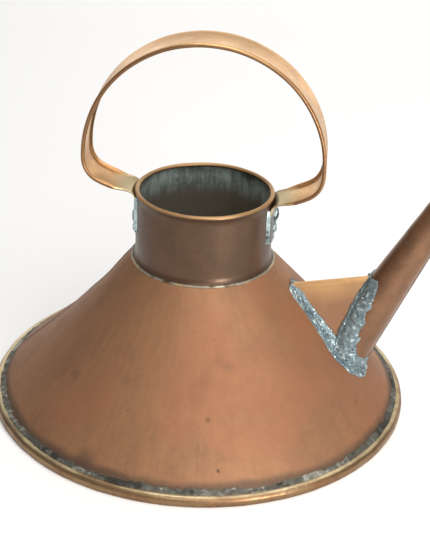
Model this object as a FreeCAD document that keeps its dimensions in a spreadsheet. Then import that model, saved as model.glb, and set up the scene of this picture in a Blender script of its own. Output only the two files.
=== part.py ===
import FreeCAD, Part
import Sketcher

import math
import os

# A conical copper watering can: a wide cone on a flat foot, a short neck with a wired rim,
# a hooped strap handle over the mouth, and a straight tapering spout braced by a gusset.
# Frame: origin at the centre of the flat underside, +Z up, +X towards the spout. Millimetres.

# Sizes that can each be set by themselves: name, value, meaning.
DRIVING_SIZES = [
    ("cone_foot_radius", 154.6, "outer radius of the cone's sheet at its foot"),
    ("cone_foot_height", 5.4, "height of the cone's foot above the ground"),
    ("cone_sheet", 1.2, "thickness of the cone's sheet"),
    ("base_sheet", 1.2, "thickness of the base plate"),
    ("band_width", 5.4, "radial thickness of the foot band"),
    ("band_height", 7.0, "height of the foot band's inner lip"),
    ("band_side", 3.4, "height of the foot band's upright outer face"),
    ("band_lip", 1.5, "width of the flat on the foot band's lip"),
    ("band_ease", 1.2, "how much the foot band's shoulder is eased from a quarter circle"),
    ("band_joint_angle", 11.0, "azimuth of the foot band's lapped joint, degrees"),
    ("band_joint_gap", 0.5, "width of the cut at the foot band's joint"),
    ("band_joint_slant", 35.0, "slant of the cut at the foot band's joint, degrees"),
    ("foot_solder_run", 5.5, "how far the foot's solder climbs above the band"),
    ("neck_foot_radius", 53.4, "outer radius of the neck's flared foot"),
    ("neck_foot_height", 114.7, "height of the neck's flared foot"),
    ("neck_radius", 51.0, "outer radius of the neck"),
    ("neck_sheet", 1.0, "thickness of the neck's sheet"),
    ("neck_foot_width", 1.2, "width of the neck's edge where it stands on the cone"),
    ("neck_flare_height", 6.3, "height of the flare at the neck's foot"),
    ("neck_height", 54.1, "height of the rim above the neck's flared foot"),
    ("rim_bead_radius", 1.8, "outer radius of the rolled rim's bead"),
    ("rim_bead_proud", 0.7, "how far the rim's bead stands out from the neck"),
    ("rim_wire_radius", 1.05, "radius of the wire in the rim"),
    ("rim_wire_clearance", 0.05, "gap around the wire in the rim"),
    ("neck_solder_height", 0.9, "height of the neck's solder off the sheets"),
    ("neck_solder_run", 2.2, "how far the neck's solder runs out over the cone"),
    ("neck_solder_climb", 2.0, "how far the neck's solder climbs the flare"),
    ("seam_width", 5.0, "width of a lapped seam's solder strip"),
    ("seam_height", 0.5, "height of a lapped seam's solder strip"),
    ("cone_seam_angle", 176.0, "azimuth of the cone's lapped seam, degrees"),
    ("neck_seam_angle", 100.0, "azimuth of the neck's lapped seam, degrees"),
    ("handle_yaw", 5.0, "turn of the handle's plane from the spout's plane, degrees"),
    ("hoop_radius", 87.2, "radius of the handle's hoop, to the middle of the strap"),
    ("hoop_rise", 113.1, "height of the hoop's top above the rim"),
    ("hoop_offset", -0.8, "the hoop's centre along the handle's plane"),
    ("arm_drop_right", 3.7, "drop from the rim to the handle's arm on the spout's side"),
    ("arm_drop_left", 0.7, "drop from the rim to the handle's other arm"),
    ("hoop_corner_radius", 26.0, "radius of the turn from an arm into the hoop"),
    ("strap_half_width", 17.0, "half the width of the handle's strap"),
    ("strap_sheet", 1.2, "thickness of the strap"),
    ("strap_bead_radius", 2.4, "outer radius of the strap's rolled edges"),
    ("strap_wire_radius", 1.5, "radius of the wires in the strap's edges"),
    ("strap_wire_clearance", 0.05, "gap around the wires in the strap's edges"),
    ("tab_bend_radius", 5.5, "inner radius of the bend from an arm down into its tab"),
    ("tab_lap", 1.3, "how far a tab's root runs on past its bend"),
    ("web_lap", 1.5, "how far the strap's web runs back into a tab's bend"),
    ("edge_lag", 0.5, "how far back a rolled edge starts behind the web, and its wire behind the tab"),
    ("tab_allowance", 8.0, "spread added to a tab before its sides are cut, degrees"),
    ("tab_gap_right", 13.1, "gap from the neck's flare up to the tab on the spout's side"),
    ("tab_gap_left", 16.1, "gap from the neck's flare up to the other tab"),
    ("tab_solder_width", 3.2, "width of the solder around a tab"),
    ("tab_solder_height", 1.5, "height of the solder around a tab"),
    ("spout_elevation", 63.85, "slope of the spout's axis above the ground, degrees"),
    ("spout_mark_radius", 127.5, "distance of the spout's axis from the middle at its mark"),
    ("spout_mark_height", 80.0, "height of the mark on the spout's axis"),
    ("spout_mark_size", 16.5, "outer radius of the spout at its mark"),
    ("spout_taper", 0.0606, "loss of radius for each unit of the spout's length"),
    ("spout_length", 180.0, "length of the spout beyond its mark"),
    ("spout_sheet", 1.0, "thickness of the spout's sheet"),
    ("lip_bead_radius", 1.5, "radius of the wire ring around the spout's mouth"),
    ("lip_seat", 0.3, "depth of the flat that seats the wire ring on the spout"),
    ("gusset_start_radius", 68.0, "where the gusset's ridge leaves the cone"),
    ("gusset_slope", 13.1, "rise of the gusset's ridge, degrees"),
    ("gusset_ridge_round", 5.0, "outer radius of the gusset's folded ridge"),
    ("gusset_sheet", 1.0, "thickness of the gusset's sheet"),
    ("joint_solder_width", 5.0, "width of the solder beside the gusset and the spout"),
    ("joint_solder_height", 1.6, "height of the solder beside the gusset and the spout"),
    ("spout_root_share", 1.35, "depth of the spout's root below its foot, for each unit of its radius"),
    ("cut_margin", 1.0, "how far a cutting shape reaches past what it cuts"),
    ("cut_skin", 0.001, "the least that a cut passes a face it runs through"),
]

# Sizes worked out from those above: name, formula.
DERIVED_SIZES = [
    ("cone_slope", "(cone_foot_radius - neck_foot_radius) / (neck_foot_height - cone_foot_height)"),
    ("cone_skew", "sqrt(1 + cone_slope ^ 2)"),
    ("cone_top_radius", "neck_foot_radius - neck_foot_width"),
    ("cone_top_height", "neck_foot_height + neck_foot_width / cone_slope"),
    ("cone_wall", "cone_sheet * cone_skew"),
    ("band_outer_radius", "cone_foot_radius + band_width"),
    ("band_round", "band_width - band_lip"),
    ("foot_solder_top", "band_height + foot_solder_run"),
    ("foot_solder_radius", "cone_foot_radius - (foot_solder_top - cone_foot_height) * cone_slope"),
    ("neck_top_height", "neck_foot_height + neck_height"),
    ("neck_bore_radius", "neck_radius - neck_sheet"),
    ("neck_flare", "neck_foot_radius - neck_radius"),
    ("neck_flare_round", "(neck_flare ^ 2 + neck_flare_height ^ 2) / (2 * neck_flare)"),
    ("neck_flare_top", "neck_foot_height + neck_flare_height"),
    ("neck_inner_flare", "cone_top_radius - neck_bore_radius"),
    ("neck_inner_rise", "neck_flare_top - cone_top_height"),
    ("neck_inner_round", "(neck_inner_flare ^ 2 + neck_inner_rise ^ 2) / (2 * neck_inner_flare)"),
    ("rim_radius", "neck_radius + rim_bead_proud - rim_bead_radius"),
    ("rim_height", "neck_top_height - rim_bead_radius"),
    ("rim_bore_radius", "rim_wire_radius + rim_wire_clearance"),
    ("neck_wall_top", "rim_height - (rim_bead_radius + rim_bore_radius) / 2"),
    ("neck_solder_radius", "neck_foot_radius + neck_solder_run"),
    ("neck_solder_foot", "neck_foot_height - neck_solder_run / cone_slope"),
    ("neck_solder_top", "neck_foot_height + neck_solder_climb"),
    ("neck_solder_dip", "sqrt(neck_flare_round ^ 2 - (neck_flare_height - neck_solder_climb) ^ 2)"),
    ("neck_solder_inner", "neck_radius + neck_flare_round - neck_solder_dip"),
    ("hoop_top_height", "neck_top_height + hoop_rise"),
    ("hoop_height", "hoop_top_height - hoop_radius"),
    ("corner_reach", "hoop_radius - hoop_corner_radius"),
    ("arm_height_right", "neck_top_height - arm_drop_right"),
    ("arm_height_left", "neck_top_height - arm_drop_left"),
    ("tab_foot_right", "neck_flare_top + tab_gap_right"),
    ("tab_foot_left", "neck_flare_top + tab_gap_left"),
    ("strap_bore_radius", "strap_wire_radius + strap_wire_clearance"),
    ("strap_bead_offset", "strap_half_width - strap_bead_radius"),
    ("strap_web_half", "strap_bead_offset - (strap_bead_radius + strap_bore_radius) / 2"),
    ("tab_outer_radius", "neck_radius + strap_sheet"),
    ("tab_bend_end", "tab_outer_radius + tab_bend_radius"),
    ("tab_root_end", "tab_bend_end + tab_lap"),
    ("web_start", "tab_bend_end - web_lap"),
    ("bead_start", "web_start + edge_lag"),
    ("wire_start", "tab_root_end + edge_lag"),
    ("tab_spread", "2 * asin(strap_half_width / neck_radius) + tab_allowance * 1 deg"),
    ("tab_solder_spread", "2 * asin((strap_half_width + tab_solder_width) / neck_radius)"),
    ("tab_solder_outer", "neck_radius + tab_solder_height"),
    ("spout_lean", "90 - spout_elevation"),
    ("spout_run", "cos(spout_elevation)"),
    ("spout_rise", "sin(spout_elevation)"),
    ("spout_mark_cone", "cone_foot_radius - cone_slope * (spout_mark_height - cone_foot_height)"),
    ("spout_sunk", "(spout_mark_radius - spout_mark_cone) / (spout_run + cone_slope * spout_rise)"),
    ("spout_foot_x", "spout_mark_radius - spout_sunk * spout_run"),
    ("spout_foot_z", "spout_mark_height - spout_sunk * spout_rise"),
    ("spout_foot_size", "spout_mark_size + spout_taper * spout_sunk"),
    ("spout_root_depth", "spout_root_share * spout_foot_size"),
    ("spout_root_x", "spout_foot_x - spout_root_depth * spout_run"),
    ("spout_root_z", "spout_foot_z - spout_root_depth * spout_rise"),
    ("spout_root_size", "spout_foot_size + spout_taper * spout_root_depth"),
    ("spout_tip_size", "spout_mark_size - spout_taper * spout_length"),
    ("spout_full_length", "spout_length + spout_sunk + spout_root_depth"),
    ("lip_radius", "spout_tip_size + (1 + spout_taper) * lip_bead_radius - lip_seat"),
    ("lip_from_tip", "spout_length - lip_bead_radius"),
    ("lip_x", "spout_mark_radius + lip_from_tip * spout_run"),
    ("lip_z", "spout_mark_height + lip_from_tip * spout_rise"),
    ("gusset_start_height", "cone_foot_height + (cone_foot_radius - gusset_start_radius) / cone_slope"),
    ("gusset_reach", "spout_foot_x - gusset_start_radius"),
    ("gusset_fall", "gusset_start_height - spout_foot_z"),
    ("gusset_depth", "gusset_fall * cos(gusset_slope) + gusset_reach * sin(gusset_slope)"),
    ("gusset_foot_x", "gusset_reach * cos(gusset_slope) - gusset_fall * sin(gusset_slope)"),
    ("gusset_span", "sqrt(spout_foot_size ^ 2 + (gusset_depth - gusset_ridge_round) ^ 2)"),
    ("gusset_lean", "atan(spout_foot_size / (gusset_depth - gusset_ridge_round))"),
    ("gusset_flare", "gusset_lean - asin(gusset_ridge_round / gusset_span)"),
    ("gusset_angle", "spout_elevation - gusset_slope"),
]


def make_sheet(doc):
    """The spreadsheet of sizes; its object is called can, so that formulas read can.size_name."""
    sheet = doc.addObject("Spreadsheet::Sheet", "can")
    row = 0
    for name, value, meaning in DRIVING_SIZES:
        row += 1
        sheet.set("A%d" % row, name)
        sheet.set("B%d" % row, str(value))
        sheet.set("C%d" % row, meaning)
        sheet.setAlias("B%d" % row, name)
    for name, formula in DERIVED_SIZES:
        row += 1
        sheet.set("A%d" % row, name)
        sheet.setAlias("B%d" % row, name)
        sheet.set("B%d" % row, "=" + formula)
    doc.recompute()
    return sheet


def number(owner, formula):
    """The present value of a formula, as a plain number."""
    value = owner.evalExpression(formula)
    return float(getattr(value, "Value", value))


def new_body(doc, name, yaw=None):
    """A body; yaw names the size that turns it about the can's upright axis."""
    body = doc.addObject("PartDesign::Body", name)
    if yaw:
        body.Placement = FreeCAD.Placement(FreeCAD.Vector(), FreeCAD.Rotation(FreeCAD.Vector(0, 0, 1), 1))
        body.setExpression("Placement.Rotation.Angle", yaw)
    return body


def new_sketch(body, name, plane, offset=None):
    """A sketch on one of the body's own origin planes, shifted along the plane's normal."""
    sketch = body.newObject("Sketcher::SketchObject", name)
    support = [item for item in body.Origin.OriginFeatures if item.Role == plane][0]
    sketch.AttachmentSupport = [(support, "")]
    sketch.MapMode = "FlatFace"
    if offset:
        sketch.setExpression("AttachmentOffset.Base.z", offset)
    return sketch


def bind(sketch, constraint, name, formula):
    """Add a named constraint whose value follows a formula."""
    index = sketch.addConstraint(constraint)
    sketch.renameConstraint(index, name)
    sketch.setExpression("Constraints." + name, formula)


def add_edge(sketch, start, end, bend):
    """A line, or an arc when bend is (radius, side): side 1 turns left, -1 turns right."""
    if bend is None:
        return sketch.addGeometry(Part.LineSegment(start, end), False), 1, 2
    radius, side = bend
    chord = end - start
    half = chord.Length / 2
    rise = math.sqrt(max(radius ** 2 - half ** 2, 0.0))
    normal = FreeCAD.Vector(-chord.y, chord.x, 0).normalize()
    centre = (start + end) * 0.5 + normal * (side * rise)
    first, last = (start, end) if side > 0 else (end, start)
    turn_in = math.atan2(first.y - centre.y, first.x - centre.x)
    turn_out = math.atan2(last.y - centre.y, last.x - centre.x)
    circle = Part.Circle(centre, FreeCAD.Vector(0, 0, 1), radius)
    index = sketch.addGeometry(Part.ArcOfCircle(circle, turn_in, turn_out), False)
    return (index, 1, 2) if side > 0 else (index, 2, 1)


def draw_chain(sketch, corners, closed=True):
    """Edges through corners of two formulas; a third item, (radius, side), makes an arc from there."""
    points = [FreeCAD.Vector(number(sketch, c[0]), number(sketch, c[1]), 0) for c in corners]
    count = len(corners) if closed else len(corners) - 1
    edges = []
    for i in range(count):
        bend = None
        if len(corners[i]) > 2:
            bend = (number(sketch, corners[i][2][0]), corners[i][2][1])
        edges.append(add_edge(sketch, points[i], points[(i + 1) % len(points)], bend))
    for i in range(count if closed else count - 1):
        here = edges[i]
        after = edges[(i + 1) % count]
        sketch.addConstraint(Sketcher.Constraint("Coincident", here[0], here[2], after[0], after[1]))
    for i, corner in enumerate(corners):
        edge, point = (edges[i][0], edges[i][1]) if i < count else (edges[-1][0], edges[-1][2])
        along = Sketcher.Constraint("DistanceX", -1, 1, edge, point, points[i].x)
        across = Sketcher.Constraint("DistanceY", -1, 1, edge, point, points[i].y)
        bind(sketch, along, "corner_%d_x" % i, corner[0])
        bind(sketch, across, "corner_%d_y" % i, corner[1])
        if len(corner) > 2 and i < count:
            radius = Sketcher.Constraint("Radius", edge, number(sketch, corner[2][0]))
            bind(sketch, radius, "corner_%d_radius" % i, corner[2][0])


def draw_circle(sketch, name, centre, radius):
    """A circle given by the formulas of its centre and radius."""
    place = FreeCAD.Vector(number(sketch, centre[0]), number(sketch, centre[1]), 0)
    circle = Part.Circle(place, FreeCAD.Vector(0, 0, 1), number(sketch, radius))
    edge = sketch.addGeometry(circle, False)
    bind(sketch, Sketcher.Constraint("DistanceX", -1, 1, edge, 3, place.x), name + "_x", centre[0])
    bind(sketch, Sketcher.Constraint("DistanceY", -1, 1, edge, 3, place.y), name + "_y", centre[1])
    bind(sketch, Sketcher.Constraint("Radius", edge, circle.Radius), name + "_radius", radius)


def revolve(body, sketch, name, kind="PartDesign::Revolution", spread=None):
    """Turn a sketch of the XZ plane about the body's Z axis, all round or by a spread of degrees."""
    feature = body.newObject(kind, name)
    feature.Profile = sketch
    feature.ReferenceAxis = (sketch, ["V_Axis"])
    feature.Angle = 360.0
    if spread:
        feature.Midplane = True
        feature.setExpression("Angle", spread)
    return feature


def turned(doc, name, corners):
    """A body turned about Z from one closed outline of radius and height."""
    body = new_body(doc, name)
    sketch = new_sketch(body, name + "_outline", "XZ_Plane")
    draw_chain(sketch, corners)
    revolve(body, sketch, name + "_turning")
    return body


def sweep(body, profile, path, name):
    """Carry a profile sketch along a path sketch."""
    feature = body.newObject("PartDesign::AdditivePipe", name)
    feature.Profile = profile
    feature.Spine = path
    return feature


def combine(doc, kind, name, base, tool):
    """Part::Cut or Part::Common of two solids."""
    result = doc.addObject(kind, name)
    result.Base = base
    result.Tool = tool
    return result


def new_cone(doc, name, lower, upper, length, place, lean=None):
    """A Part::Cone; place is x and z of its lower middle, lean tips its axis towards +X."""
    cone = doc.addObject("Part::Cone", name)
    cone.setExpression("Radius1", lower)
    cone.setExpression("Radius2", upper)
    cone.setExpression("Height", length)
    set_place(cone, place, lean)
    return cone


def set_place(item, place, lean=None):
    """Bind an object's place in the XZ plane and its lean about Y."""
    if lean:
        item.Placement = FreeCAD.Placement(FreeCAD.Vector(), FreeCAD.Rotation(FreeCAD.Vector(0, 1, 0), 1))
        item.setExpression("Placement.Rotation.Angle", lean)
    item.setExpression("Placement.Base.x", place[0])
    item.setExpression("Placement.Base.z", place[1])


# ---- The foot ----

def make_base_plate(doc):
    """A flat disc with an upturned edge that the cone's foot stands on."""
    return turned(doc, "base_plate", [
        ("0", "0"),
        ("can.cone_foot_radius", "0"),
        ("can.cone_foot_radius", "can.cone_foot_height"),
        ("can.cone_foot_radius - can.base_sheet", "can.cone_foot_height"),
        ("can.cone_foot_radius - can.base_sheet", "can.base_sheet"),
        ("0", "can.base_sheet"),
    ])


def make_foot_band(doc):
    """The brass band around the foot, closed by a slanted lapped joint."""
    body = turned(doc, "foot_band", [
        ("can.cone_foot_radius", "0"),
        ("can.band_outer_radius", "0"),
        ("can.band_outer_radius", "can.band_side", ("can.band_round + can.band_ease", 1)),
        ("can.cone_foot_radius + can.band_lip", "can.band_height"),
        ("can.cone_foot_radius", "can.band_height"),
    ])
    body.Placement = FreeCAD.Placement(FreeCAD.Vector(), FreeCAD.Rotation(FreeCAD.Vector(0, 0, 1), 1))
    body.setExpression("Placement.Rotation.Angle", "can.band_joint_angle")
    cut = new_sketch(body, "band_joint_outline", "YZ_Plane")
    slant = "can.band_height * tan(can.band_joint_slant)"
    draw_chain(cut, [
        ("-%s / 2" % slant, "-can.cut_skin"),
        ("-%s / 2 + can.band_joint_gap" % slant, "-can.cut_skin"),
        ("%s / 2 + can.band_joint_gap" % slant, "can.band_height + can.cut_skin"),
        ("%s / 2" % slant, "can.band_height + can.cut_skin"),
    ])
    joint = body.newObject("PartDesign::Pocket", "band_joint")
    joint.Profile = cut
    joint.Reversed = True
    joint.setExpression("Length", "can.band_outer_radius + can.cut_margin")
    return body


def make_foot_solder(doc):
    """The solder that fills the corner between the cone's foot and the band."""
    return turned(doc, "foot_solder", [
        ("can.cone_foot_radius", "can.cone_foot_height"),
        ("can.cone_foot_radius", "can.band_height"),
        ("can.foot_solder_radius", "can.foot_solder_top"),
    ])


# ---- The cone ----

def make_body_cone(doc, spout_bore):
    """The rolled sheet of the body, with the hole that lets water into the spout."""
    shell = turned(doc, "cone_shell", [
        ("can.cone_foot_radius", "can.cone_foot_height"),
        ("can.cone_top_radius", "can.cone_top_height"),
        ("can.cone_top_radius - can.cone_wall", "can.cone_top_height"),
        ("can.cone_foot_radius - can.cone_wall", "can.cone_foot_height"),
    ])
    return combine(doc, "Part::Cut", "body_cone", shell, spout_bore)


def make_solid_cone(doc, name, grow):
    """The whole cone as one solid, its surface moved out by grow."""
    return new_cone(
        doc, name,
        "can.cone_foot_radius + (%s) * can.cone_skew" % grow,
        "can.cone_top_radius + (%s) * can.cone_skew" % grow,
        "can.cone_top_height - can.cone_foot_height",
        ("0", "can.cone_foot_height"),
    )


def make_cone_seam(doc, cone_solid, cone_proud):
    """The soldered strip along the cone's lapped seam."""
    band = combine(doc, "Part::Cut", "cone_seam_layer", cone_proud, cone_solid)
    strip = doc.addObject("Part::Box", "cone_seam_strip")
    strip.setExpression("Length", "can.cone_foot_radius + can.cut_margin")
    strip.setExpression("Width", "can.seam_width")
    strip.setExpression("Height", "can.neck_solder_foot - can.foot_solder_top")
    turn = FreeCAD.Rotation(FreeCAD.Vector(0, 0, 1), 1)
    strip.Placement = FreeCAD.Placement(FreeCAD.Vector(), turn)
    strip.setExpression("Placement.Rotation.Angle", "can.cone_seam_angle")
    strip.setExpression("Placement.Base.x", "can.seam_width / 2 * sin(can.cone_seam_angle)")
    strip.setExpression("Placement.Base.y", "-can.seam_width / 2 * cos(can.cone_seam_angle)")
    strip.setExpression("Placement.Base.z", "can.foot_solder_top")
    return combine(doc, "Part::Common", "cone_seam", band, strip)


# ---- The neck ----

def make_neck_collar(doc):
    """The neck's wall with its flared foot, and the rim rolled around a wire."""
    body = turned(doc, "neck_collar", [
        ("can.neck_foot_radius", "can.neck_foot_height", ("can.neck_flare_round", -1)),
        ("can.neck_radius", "can.neck_flare_top"),
        ("can.neck_radius", "can.neck_wall_top"),
        ("can.neck_bore_radius", "can.neck_wall_top"),
        ("can.neck_bore_radius", "can.neck_flare_top", ("can.neck_inner_round", 1)),
        ("can.cone_top_radius", "can.cone_top_height"),
    ])
    bead = new_sketch(body, "rim_bead_outline", "XZ_Plane")
    draw_circle(bead, "bead", ("can.rim_radius", "can.rim_height"), "can.rim_bead_radius")
    revolve(body, bead, "rim_bead")
    bore = new_sketch(body, "rim_bore_outline", "XZ_Plane")
    draw_circle(bore, "bore", ("can.rim_radius", "can.rim_height"), "can.rim_bore_radius")
    revolve(body, bore, "rim_bore", "PartDesign::Groove")
    return body


def make_neck_rim_wire(doc):
    """The wire that stiffens the rim."""
    wire = doc.addObject("Part::Torus", "neck_rim_wire")
    wire.setExpression("Radius1", "can.rim_radius")
    wire.setExpression("Radius2", "can.rim_wire_radius")
    wire.setExpression("Placement.Base.z", "can.rim_height")
    return wire


def make_neck_solder(doc):
    """The thin line of solder around the neck's foot."""
    return turned(doc, "neck_solder", [
        ("can.neck_foot_radius", "can.neck_foot_height"),
        ("can.neck_solder_radius", "can.neck_solder_foot"),
        ("can.neck_solder_radius", "can.neck_solder_foot + can.neck_solder_height"),
        ("can.neck_solder_inner + can.neck_solder_height", "can.neck_solder_top"),
        ("can.neck_solder_inner", "can.neck_solder_top"),
    ])


def make_neck_seam(doc):
    """The soldered strip along the neck's lapped seam."""
    body = new_body(doc, "neck_seam", "can.neck_seam_angle")
    outline = new_sketch(body, "neck_seam_outline", "XZ_Plane")
    draw_chain(outline, [
        ("can.neck_radius", "can.neck_flare_top"),
        ("can.neck_radius + can.seam_height", "can.neck_flare_top"),
        ("can.neck_radius + can.seam_height", "can.rim_height - can.rim_bead_radius"),
        ("can.neck_radius", "can.rim_height - can.rim_bead_radius"),
    ])
    spread = "2 * asin(can.seam_width / 2 / can.neck_radius)"
    revolve(body, outline, "neck_seam_turning", spread=spread)
    return body


# ---- The handle ----

def draw_hoop_path(sketch, start):
    """From one arm, round the hoop, to the other arm; start is each arm's end at the neck."""
    draw_chain(sketch, [
        (start, "can.arm_height_right"),
        ("can.hoop_offset + can.corner_reach", "can.arm_height_right", ("can.hoop_corner_radius", 1)),
        ("can.hoop_offset + can.hoop_radius", "can.arm_height_right + can.hoop_corner_radius"),
        ("can.hoop_offset + can.hoop_radius", "can.hoop_height", ("can.hoop_radius", 1)),
        ("can.hoop_offset", "can.hoop_top_height", ("can.hoop_radius", 1)),
        ("can.hoop_offset - can.hoop_radius", "can.hoop_height"),
        (
            "can.hoop_offset - can.hoop_radius",
            "can.arm_height_left + can.hoop_corner_radius",
            ("can.hoop_corner_radius", 1),
        ),
        ("can.hoop_offset - can.corner_reach", "can.arm_height_left"),
        ("-(%s)" % start, "can.arm_height_left"),
    ], closed=False)


def make_strap_web(body):
    """The strap's flat web between its rolled edges."""
    path = new_sketch(body, "web_path", "XZ_Plane")
    draw_hoop_path(path, "can.web_start")
    section = new_sketch(body, "web_section", "YZ_Plane", "can.web_start")
    low = "can.arm_height_right - can.strap_sheet / 2"
    high = "can.arm_height_right + can.strap_sheet / 2"
    draw_chain(section, [
        ("-can.strap_web_half", low),
        ("can.strap_web_half", low),
        ("can.strap_web_half", high),
        ("-can.strap_web_half", high),
    ])
    sweep(body, section, path, "strap_web")


def make_strap_edge(body, side, sign):
    """One rolled edge of the strap, hollow for its wire."""
    path = new_sketch(body, side + "_edge_path", "XZ_Plane", "%s * can.strap_bead_offset" % sign)
    draw_hoop_path(path, "can.bead_start")
    section = new_sketch(body, side + "_edge_section", "YZ_Plane", "can.bead_start")
    centre = ("-1 * (%s) * can.strap_bead_offset" % sign, "can.arm_height_right")
    draw_circle(section, "outside", centre, "can.strap_bead_radius")
    draw_circle(section, "inside", centre, "can.strap_bore_radius")
    sweep(body, section, path, side + "_edge")


def make_strap_tab(body, side, sign):
    """One end of the strap, bent down and curved to lie on the neck."""
    arm = "can.arm_height_" + side
    foot = "can.tab_foot_" + side
    turn = 1 if sign == "1" else -1
    outline = new_sketch(body, side + "_tab_outline", "XZ_Plane")
    draw_chain(outline, [
        (sign + " * can.neck_radius", foot),
        (sign + " * can.tab_outer_radius", foot),
        (
            sign + " * can.tab_outer_radius",
            arm + " - can.strap_sheet / 2 - can.tab_bend_radius",
            ("can.tab_bend_radius", -turn),
        ),
        (sign + " * can.tab_bend_end", arm + " - can.strap_sheet / 2"),
        (sign + " * can.tab_root_end", arm + " - can.strap_sheet / 2"),
        (sign + " * can.tab_root_end", arm + " + can.strap_sheet / 2"),
        (
            sign + " * can.tab_bend_end",
            arm + " + can.strap_sheet / 2",
            ("can.tab_bend_radius + can.strap_sheet", turn),
        ),
        (sign + " * can.neck_radius", arm + " - can.strap_sheet / 2 - can.tab_bend_radius"),
    ])
    revolve(body, outline, side + "_tab", spread="can.tab_spread")


def trim_strap_sides(body):
    """Cut the tabs back to the strap's width."""
    outline = new_sketch(body, "strap_sides", "XY_Plane")
    reach = "can.tab_root_end + can.cut_margin"
    for sign in ("1", "-1"):
        edge = sign + " * can.strap_half_width"
        far = sign + " * 2 * can.strap_half_width"
        draw_rectangle(outline, "side" + ("_near" if sign == "1" else "_far"), reach, edge, far)
    trim = body.newObject("PartDesign::Pocket", "strap_trim")
    trim.Profile = outline
    trim.Type = "ThroughAll"
    trim.Midplane = True


def draw_rectangle(sketch, name, reach, low, high):
    """A rectangle from -reach to reach and from low to high."""
    places = [("-(%s)" % reach, low), (reach, low), (reach, high), ("-(%s)" % reach, high)]
    points = [FreeCAD.Vector(number(sketch, p[0]), number(sketch, p[1]), 0) for p in places]
    first = len(sketch.Geometry)
    for i in range(4):
        sketch.addGeometry(Part.LineSegment(points[i], points[(i + 1) % 4]), False)
    for i in range(4):
        here = first + i
        after = first + (i + 1) % 4
        sketch.addConstraint(Sketcher.Constraint("Coincident", here, 2, after, 1))
        along = Sketcher.Constraint("DistanceX", -1, 1, here, 1, points[i].x)
        across = Sketcher.Constraint("DistanceY", -1, 1, here, 1, points[i].y)
        bind(sketch, along, "%s_%d_x" % (name, i), places[i][0])
        bind(sketch, across, "%s_%d_y" % (name, i), places[i][1])


def make_handle_strap(doc):
    """The hooped strap: web, rolled edges and soldered tabs in one piece of sheet."""
    body = new_body(doc, "handle_strap", "can.handle_yaw")
    make_strap_web(body)
    make_strap_edge(body, "front", "1")
    make_strap_edge(body, "back", "-1")
    make_strap_tab(body, "right", "1")
    make_strap_tab(body, "left", "-1")
    trim_strap_sides(body)
    return body


def make_handle_wire(doc, side, sign):
    """The wire inside one rolled edge of the strap."""
    name = "handle_wire_" + side
    body = new_body(doc, name, "can.handle_yaw")
    path = new_sketch(body, name + "_path", "XZ_Plane", "%s * can.strap_bead_offset" % sign)
    draw_hoop_path(path, "can.wire_start")
    section = new_sketch(body, name + "_section", "YZ_Plane", "can.wire_start")
    centre = ("-1 * (%s) * can.strap_bead_offset" % sign, "can.arm_height_right")
    draw_circle(section, "wire", centre, "can.strap_wire_radius")
    sweep(body, section, path, name + "_sweep")
    return body


def make_handle_solder(doc, side, sign):
    """The solder around the sides and foot of one tab."""
    name = "handle_solder_" + side
    arm = "can.arm_height_" + side
    body = new_body(doc, name, "can.handle_yaw")
    outline = new_sketch(body, name + "_outline", "XZ_Plane")
    foot = "can.tab_foot_%s - can.tab_solder_width" % side
    top = arm + " - can.strap_sheet / 2 - can.tab_bend_radius"
    draw_chain(outline, [
        (sign + " * can.neck_radius", foot),
        (sign + " * can.tab_solder_outer", foot),
        (sign + " * can.tab_solder_outer", top),
        (sign + " * can.neck_radius", top),
    ])
    revolve(body, outline, name + "_turning", spread="can.tab_solder_spread")
    slot = new_sketch(body, name + "_slot", "YZ_Plane")
    draw_chain(slot, [
        ("-can.strap_half_width", "can.tab_foot_" + side),
        ("can.strap_half_width", "can.tab_foot_" + side),
        ("can.strap_half_width", top + " + can.cut_margin"),
        ("-can.strap_half_width", top + " + can.cut_margin"),
    ])
    gap = body.newObject("PartDesign::Pocket", name + "_gap")
    gap.Profile = slot
    gap.Type = "ThroughAll"
    gap.Midplane = True
    return body


# ---- The spout ----

def make_spout_cone(doc, name, grow):
    """The spout's tapering outside as one solid, moved out by grow."""
    return new_cone(
        doc, name,
        "can.spout_root_size + (%s)" % grow,
        "can.spout_tip_size + (%s)" % grow,
        "can.spout_full_length",
        ("can.spout_root_x", "can.spout_root_z"),
        "can.spout_lean",
    )


def make_spout_bore(doc):
    """The inside of the spout, run a little past its tip."""
    past = "can.cut_margin"
    return new_cone(
        doc, "spout_bore",
        "can.spout_root_size - can.spout_sheet",
        "can.spout_tip_size - can.spout_sheet - can.spout_taper * %s" % past,
        "can.spout_full_length + %s" % past,
        ("can.spout_root_x", "can.spout_root_z"),
        "can.spout_lean",
    )


def make_spout_tube(doc, spout_outside, spout_bore, cone_solid):
    """The tapering tube, its foot cut to sit on the cone."""
    tube = combine(doc, "Part::Cut", "spout_pipe", spout_outside, spout_bore)
    return combine(doc, "Part::Cut", "spout_tube", tube, cone_solid)


def make_spout_lip(doc, spout_outside):
    """The wire ring soldered around the spout's mouth."""
    ring = doc.addObject("Part::Torus", "lip_ring")
    ring.setExpression("Radius1", "can.lip_radius")
    ring.setExpression("Radius2", "can.lip_bead_radius")
    set_place(ring, ("can.lip_x", "can.lip_z"), "can.spout_lean")
    return combine(doc, "Part::Cut", "spout_lip", ring, spout_outside)


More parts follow.
